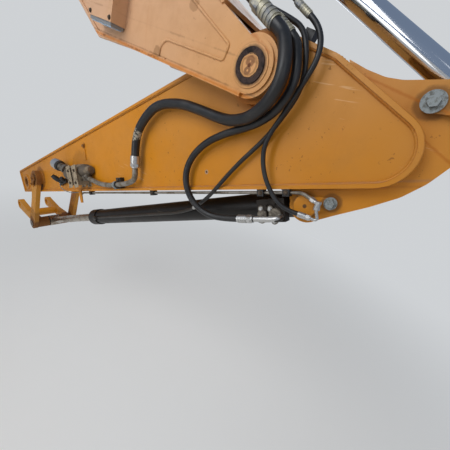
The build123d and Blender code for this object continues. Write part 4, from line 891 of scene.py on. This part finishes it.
def stick_weld_lines():
    """Welds of the stick: corners, depth, roundings in mm or none, and whether the line is closed."""
    inner, inner_rounding = stick_line(15.5)
    outer, outer_rounding = stick_line(-1.0)
    heel = [(60.0, -446.0), *outer[2:4], (205.0, 38.0)]
    heel_rounding = [0.0, *outer_rounding[2:4], 0.0]
    return mirrored([
        (inner, STICK_FACE - 1.0, inner_rounding, True),
        (heel, -121.0, heel_rounding, False),
        (heel, -79.0, heel_rounding, False),
        (ring_points(*NOSE_PIN, 76.5), STICK_FACE - 1.0, None, True),
        (ring_points(*ROCKER_PIVOT, 69.5), STICK_FACE - 1.0, None, True),
    ])


def boom_weld_lines():
    """Welds of the boom, with the columns of the stick's."""
    underside = [along(BOOM_UNDERSIDE, 452.0, -88.5), (-941.0, 409.0), (-2066.0, 2134.0)]
    top = [along(BOOM_TOP, 250.0, 62.5), along(BOOM_TOP, 2660.0, 62.5)]
    cheek = [
        along(BOOM_UNDERSIDE, 500.0, -86.0), along(BOOM_UNDERSIDE, 501.0, -14.0),
        along(BOOM_UNDERSIDE, 128.0, -14.0), along(BOOM_TOP, 128.0, -9.0),
        along(BOOM_TOP, 481.0, -9.0), along(BOOM_TOP, 481.0, 60.0)]
    return mirrored([
        (underside, BOOM_FACE - 1.0, [0.0, 40.0, 0.0], False),
        (top, BOOM_FACE - 1.0, None, False),
        (cheek, BOOM_FACE - 0.4, [0.0, 50.0, 12.0, 12.0, 30.0, 0.0], False),
        (ring_points(*ROOT, 87.0), BOOM_FACE - 3.0, None, True),
    ])


def seed_mesh(name, points, edges, **attributes):
    """Mesh of points and edges whose points carry named values: each a kind, a field and a flat list."""
    seed = bpy.data.meshes.new(name)
    seed.from_pydata(points, edges, [])
    for key, (kind, field, values) in attributes.items():
        seed.attributes.new(key, kind, "POINT").data.foreach_set(field, values)
    return seed


class ARM_OT_welds(bpy.types.Operator):
    """Lay the weld beads of the stick and the boom"""

    bl_idname = "arm.welds"
    bl_label = "Lay the Welds"

    def execute(self, context):
        settings = context.scene.arm_welds
        tree = build_weld_tree()
        for body, rows in (("stick", stick_weld_lines()), ("boom", boom_weld_lines())):
            corners, edges, rounding = [], [], []
            for points, depth, radii, closed in rows:
                first = len(corners)
                corners += [arm_point(x, y, depth) for x, y in points]
                rounding += [radius / 1000 for radius in radii] if radii else [0.0] * len(points)
                edges += [(first + k, first + k + 1) for k in range(len(points) - 1)]
                if closed:
                    edges.append((len(corners) - 1, first))
            seed = seed_mesh(body + " weld lines", corners, edges, rounding=("FLOAT", "value", rounding))
            mesh = grown(body + "_welds", seed, tree, {
                "Radius": settings.bead_radius, "Ripple": settings.ripple,
                "Ripple depth": settings.ripple_depth, "Material": bpy.data.materials[body + " paint"]})
            add_piece(body + "_welds", mesh, body)
        return {"FINISHED"}


# way of a bolt that faces out on the hose side
OUTWARDS = (0, 0, -1)
# runs of the lamp's two ends along the boom's underside
LAMP_ENDS = (806.0, 984.0)
# depth of the port block's face, the height of the pads on it, and their side plane places
PORT_SEAT, PAD_HEIGHT = -110.4, 12.0
FLANGE_PADS = ((-40, -537), (4, -535), (-36, -590), (26, -590))
BOLTS = {
    # body and finish: head radius, side plane x, y and depth in mm, then the way that the head faces
    ("boom", "dark bolt"): (
        [(9.0, *along(BOOM_TOP, run, 154.0), depth, (*turned(BOOM_TOP - 90.0), 0.0))
         for run in (520.0, 1100.0, 1700.0) for depth in (-134.0, -93.0)]
        + [(8.0, *along(BOOM_UNDERSIDE, run, offset), -331.2, OUTWARDS)
           for run in LAMP_ENDS for offset in (-20.0, 98.0)]
    ),
    ("stick", "dark bolt"): (
        [(9.0, x, y, -253.9, OUTWARDS) for x, y in
         ((-1649, -282), (-1647, -374), (-1551, -282), (-1549, -374))]
        + [(8.0, x, -460.0, -166.0, OUTWARDS) for x in (-1540.0, -760.0, -20.0, 96.0)]
        + [(7.0, -1079.0, -368.0, -183.2, OUTWARDS), (10.0, -1541.0, -98.0, -160.2, OUTWARDS)]
    ),
    ("tool_barrel", "zinc"): [(8.0, x, y, PORT_SEAT - PAD_HEIGHT, OUTWARDS) for x, y in FLANGE_PADS],
}


class ARM_OT_bolts(bpy.types.Operator):
    """Put the bolts on clamps, valve, lamp and flanges"""

    bl_idname = "arm.bolts"
    bl_label = "Put On the Bolts"

    def execute(self, context):
        tree = build_bolt_tree()
        for (body, finish), rows in BOLTS.items():
            seed = seed_mesh(
                body + " bolt points", [arm_point(x, y, depth) for _, x, y, depth, _ in rows], [],
                way=("FLOAT_VECTOR", "vector", [c for row in rows for c in arm_way(*row[4])]),
                size=("FLOAT", "value", [row[0] / 1000 for row in rows]))
            mesh = grown(body + "_bolts", seed, tree, {"Material": bpy.data.materials[finish]})
            add_piece(body + "_bolts", mesh, body)
        return {"FINISHED"}


def shape_valve():
    """Valve casting flat on the stick, its two flange ribs, and the stub for the cap with the pipe's nut."""
    shape = bmesh.new()
    add_lathe(shape, (-1424, -286, -184), (-1832, -300, -184), (
        (0.0, 0.0), (0.0, 0.026), (0.04, 0.034), (0.14, 0.040), (0.16, 0.048), (0.30, 0.056), (0.46, 0.060),
        (0.66, 0.061), (0.84, 0.058), (0.95, 0.047), (1.0, 0.032), (1.0, 0.0)), 40)
    flat = (STICK_FACE - 0.2) / 1000
    for vertex in shape.verts:
        vertex.co.y = min(vertex.co.y, flat)
    casting = close_shape("valve_body", shape, angle=40.0)
    add_piece("valve_body", casting, "stick", "cast iron", ("shutoff_valve",))

    shape = bmesh.new()
    for low, high in ((-1668.0, -1632.0), (-1570.0, -1534.0)):
        corners = ((low, -262), (high, -258), (high + 3, -392), (low + 3, -396))
        add_prism(shape, corners, STICK_FACE - 1.0, 98.0)
    ribs = close_shape("valve_ribs", shape, bevel=0.017, segments=4, angle=60.0)
    add_piece("valve_ribs", ribs, "stick", "pale casting")

    shape = bmesh.new()
    add_lathe(shape, (-1790, -266, -203), (-1888, -226, -216), (
        (0.0, 0.040), (0.30, 0.038), (0.36, 0.030), (0.62, 0.027), (0.66, 0.033), (1.0, 0.033)))
    add_lathe(shape, (-1500, -337, -198), (-1470, -344.4, -198), (
        (0.0, 0.026), (0.1, 0.029), (0.9, 0.029), (1.0, 0.026)), 6)
    add_lathe(shape, (-1512, -334, -198), (-1446, -350, -198), ((0.0, 0.023), (1.0, 0.021)))
    stub = close_shape("valve_stub", shape, angle=32.0)
    add_piece("valve_stub", stub, "stick", "worn steel")


def shape_cap_seal_and_recess_shade():
    """Black band at the cap's root, and a black disc in the cap's face as painted shade for its recess."""
    shape = bmesh.new()
    add_lathe(shape, (-1868, -234, -213.4), (-1889, -225.6, -216.1), (
        (0.0, 0.036), (0.1, 0.042), (0.85, 0.043), (1.0, 0.040)))
    # painted shade: this black disc stands for the dark inside of the cap's recess
    add_lathe(shape, (-1936, -206.6, -222.0), (-1951.0, -200.4, -223.9), ((0.0, 0.030), (1.0, 0.030)))
    add_piece("cap_seal", close_shape("cap_seal", shape), "stick", "seal rubber")


def shape_strap():
    """Bright band that holds the valve's pipe on its black block."""
    shape = bmesh.new()
    add_lathe(shape, (-1104, -403.0, -198), (-1080, -402.3, -198), (
        (0.0, 0.0238), (0.08, 0.0248), (0.92, 0.0248), (1.0, 0.0238)))
    add_prism(shape, ((-1104, -420), (-1080, -420), (-1080, -432), (-1104, -432)), -176.0, 30.0)
    add_piece("pipe_strap", close_shape("pipe_strap", shape), "stick", "galvanised")


def shape_ports():
    """Split flanges and bright elbow on the tool cylinder's port block."""
    shape = bmesh.new()
    for x, y, radius in ((28, -560, 0.030), (-34, -562, 0.024)):
        add_lathe(shape, (x, y, PORT_SEAT), (x, y, -127.0), (
            (0.0, 0.0), (0.0, radius), (0.80, radius), (1.0, radius - 0.003), (1.0, 0.016), (1.12, 0.014),
            (1.12, 0.0)))
    for x, y in FLANGE_PADS:
        add_prism(shape, ring_points(x, y, 15.0, 12), PORT_SEAT, PAD_HEIGHT)
    add_piece("port_flanges", close_shape("port_flanges", shape), "tool_barrel", "worn steel")
    route = ((-62, -580.1, -148.1), (-20, -578.3, -147.3), (30, -576.3, -146.3), (50, -573, -144),
             (52, -570, -128), (52, -568, -112))
    elbow = curve_mesh("port_elbow", arm_points(route), 0.0134)[0]
    add_piece("port_elbow", elbow, "tool_barrel", "zinc")


def shape_lamp_glass():
    """Lamp glass that faces down, its finish a painted pale blue reflection."""
    shape = bmesh.new()
    first, last = LAMP_ENDS
    corners = [along(BOOM_UNDERSIDE, run, offset) for run, offset in (
        (first, -50.6), (last, -50.6), (last, -54.0), (first, -54.0))]
    add_prism(shape, corners, -268.0, 52.0)
    add_piece("lamp_glass", close_shape("lamp_glass", shape, bevel=0.0012), "boom", "glass")


def shape_sensor_line():
    """Thin line that leaves the test port."""
    route = ((-1996, -372, -200), (-1984, -396, -208), (-1960, -430, -196), (-1920, -452, -176),
             (-1880, -459, -150), (-1800, -458, -120))
    line = curve_mesh("sensor_line", arm_points(route), 0.0032)[0]
    add_piece("sensor_line", line, "stick", "galvanised")


class ARM_OT_fittings(bpy.types.Operator):
    """Shape the valve, the ports, the lamp glass and the sensor line"""

    bl_idname = "arm.fittings"
    bl_label = "Shape the Fittings"

    def execute(self, context):
        shape_valve()
        shape_cap_seal_and_recess_shade()
        shape_strap()
        shape_ports()
        shape_lamp_glass()
        shape_sensor_line()
        return {"FINISHED"}


FLOOR_REACH, FLOOR_SIDES = 60.0, 48
FLOOR_SHADE = (0.78, 0.77, 0.75, 1)
# distances from the arm, in metres, between which the floor melts into the background
FLOOR_FADE = (2.0, 8.5)
SKY_LIGHT, SKY_REFLECTED, SKY_STRENGTH = (0.93, 0.96, 1.0, 1), (0.40, 0.52, 0.74, 1), 0.45
LAMPS = (
    # name, side plane place and aim in mm, size in metres, power in watts, spread in degrees
    ("key", (-800, 2600, -3600), (-900, 0), 2.6, 95.0, 180.0),
    ("fill", (3200, 600, -3000), (-400, -100), 3.0, 30.0, 180.0),
    ("low", (-1500, 100, -3000), (-1200, -300), 1.3, 4.2, 70.0),
    ("back", (-1500, 2500, 3200), (-900, 0), 3.0, 45.0, 180.0),
)
# camera: place in mm, the picture's right and up in the side plane, sensor width and lens in mm
CAMERA_PLACE = (473.7, -379.6, -1095.0)
CAMERA_RIGHT, CAMERA_UP = (0.80814, -0.05130, 0.58676), (-0.07753, 0.97827, 0.19232)
SENSOR_WIDTH, LENS = 36.0, 19.24


def lay_floor(scene, settings):
    """Round pale floor that melts into the background for the camera."""
    height, background = settings.floor_height, tuple(settings.background)
    mesh = bpy.data.meshes.new("floor")
    turns = [math.tau * k / FLOOR_SIDES for k in range(FLOOR_SIDES)]
    rim = [(FLOOR_REACH * math.cos(turn), FLOOR_REACH * math.sin(turn), height) for turn in turns]
    mesh.from_pydata(rim, [], [tuple(range(FLOOR_SIDES))])
    floor = bpy.data.objects.new("floor", mesh)
    scene.collection.objects.link(floor)
    material, tree, shader = new_material("floor")
    place = object_place(tree)
    mottled = times(tree, noise(tree, place, 3.0), 0.08)
    pale = mix_colour(tree, mottled, tuple(settings.floor_colour), FLOOR_SHADE)
    tree.links.new(pale, shader.inputs["Base Color"])
    shader.inputs["Roughness"].default_value = 0.9
    middle = (arm_point(-900, -300)[0], 0.0, height)
    far = ramp(tree, measure(tree, "DISTANCE", place, middle), *FLOOR_FADE)
    path = tree.nodes.new("ShaderNodeLightPath")
    seen = times(tree, far, path.outputs["Is Camera Ray"])
    glow = add_node(tree, "ShaderNodeEmission", Color=background, Strength=1.0)
    melted = mix_shader(tree, seen, shader.outputs["BSDF"], glow.outputs["Emission"])
    output = next(node for node in tree.nodes if node.type == "OUTPUT_MATERIAL")
    tree.links.new(melted, output.inputs["Surface"])
    mesh.materials.append(material)


def hang_sky(scene, settings):
    """Soft light from all round, bluer in reflections, behind a plain background."""
    world = bpy.data.worlds.new("studio")
    world.use_nodes = True
    scene.world = world
    tree = world.node_tree
    tree.nodes.clear()
    output = tree.nodes.new("ShaderNodeOutputWorld")
    path = tree.nodes.new("ShaderNodeLightPath").outputs
    sky = mix_colour(tree, path["Is Glossy Ray"], SKY_LIGHT, SKY_REFLECTED)
    light = add_node(tree, "ShaderNodeBackground", [("Color", sky)], Strength=SKY_STRENGTH)
    seen = add_node(tree, "ShaderNodeBackground", Color=tuple(settings.background), Strength=1.0)
    mixed = mix_shader(tree, path["Is Camera Ray"], light.outputs[0], seen.outputs[0])
    tree.links.new(mixed, output.inputs["Surface"])


def set_lamps(scene):
    """Square lamps round the arm, each turned to its aim."""
    for name, place, aim, size, power, spread in LAMPS:
        data = bpy.data.lights.new(name, "AREA")
        data.size = size
        data.energy = power
        data.spread = math.radians(spread)
        lamp = bpy.data.objects.new(name, data)
        lamp.location = arm_point(*place)
        lamp.rotation_euler = (arm_point(*aim) - arm_point(*place)).to_track_quat("-Z", "Y").to_euler()
        scene.collection.objects.link(lamp)


def set_camera(scene):
    """Camera close beside the stick's pivot."""
    camera = bpy.data.cameras.new("camera")
    camera.sensor_width = SENSOR_WIDTH
    camera.lens = LENS
    holder = bpy.data.objects.new("camera", camera)
    right, up = arm_way(*CAMERA_RIGHT), arm_way(*CAMERA_UP)
    turn = Matrix((right, up, right.cross(up))).transposed().to_4x4()
    holder.matrix_world = Matrix.Translation(arm_point(*CAMERA_PLACE)) @ turn
    scene.collection.objects.link(holder)
    scene.camera = holder


class ARM_OT_stage(bpy.types.Operator):
    """Set the floor, the light and the camera"""

    bl_idname = "arm.stage"
    bl_label = "Set the Stage"

    def execute(self, context):
        scene = context.scene
        lay_floor(scene, scene.arm_stage)
        hang_sky(scene, scene.arm_stage)
        set_lamps(scene)
        set_camera(scene)
        scene.view_settings.view_transform = "Standard"
        scene.cycles.caustics_reflective = False
        return {"FINISHED"}


OPERATORS = (ARM_OT_stage, ARM_OT_finishes, ARM_OT_hoses, ARM_OT_welds, ARM_OT_bolts, ARM_OT_fittings)
SETTINGS = (("arm_paint", ArmPaintSettings), ("arm_hoses", ArmHoseSettings), ("arm_welds", ArmWeldSettings),
            ("arm_stage", ArmStageSettings))


class VIEW3D_PT_arm(bpy.types.Panel):
    """Steps that dress the working arm"""

    bl_label = "Working Arm"
    bl_space_type = "VIEW_3D"
    bl_region_type = "UI"
    bl_category = "Working Arm"

    def draw(self, context):
        for name, settings in SETTINGS:
            group = getattr(context.scene, name)
            box = self.layout.box()
            for key in settings.__annotations__:
                box.prop(group, key)
        for operator in OPERATORS:
            self.layout.operator(operator.bl_idname)


def register():
    for name, settings in SETTINGS:
        bpy.utils.register_class(settings)
        setattr(bpy.types.Scene, name, bpy.props.PointerProperty(type=settings))
    for operator in OPERATORS:
        bpy.utils.register_class(operator)
    bpy.utils.register_class(VIEW3D_PT_arm)


def unregister():
    bpy.utils.unregister_class(VIEW3D_PT_arm)
    for operator in reversed(OPERATORS):
        bpy.utils.unregister_class(operator)
    for name, settings in reversed(SETTINGS):
        delattr(bpy.types.Scene, name)
        bpy.utils.unregister_class(settings)


def main():
    register()
    bpy.ops.arm.stage()
    bpy.ops.arm.finishes()
    bpy.ops.arm.hoses()
    bpy.ops.arm.welds()
    bpy.ops.arm.bolts()
    bpy.ops.arm.fittings()


if __name__ == "__main__":
    main()
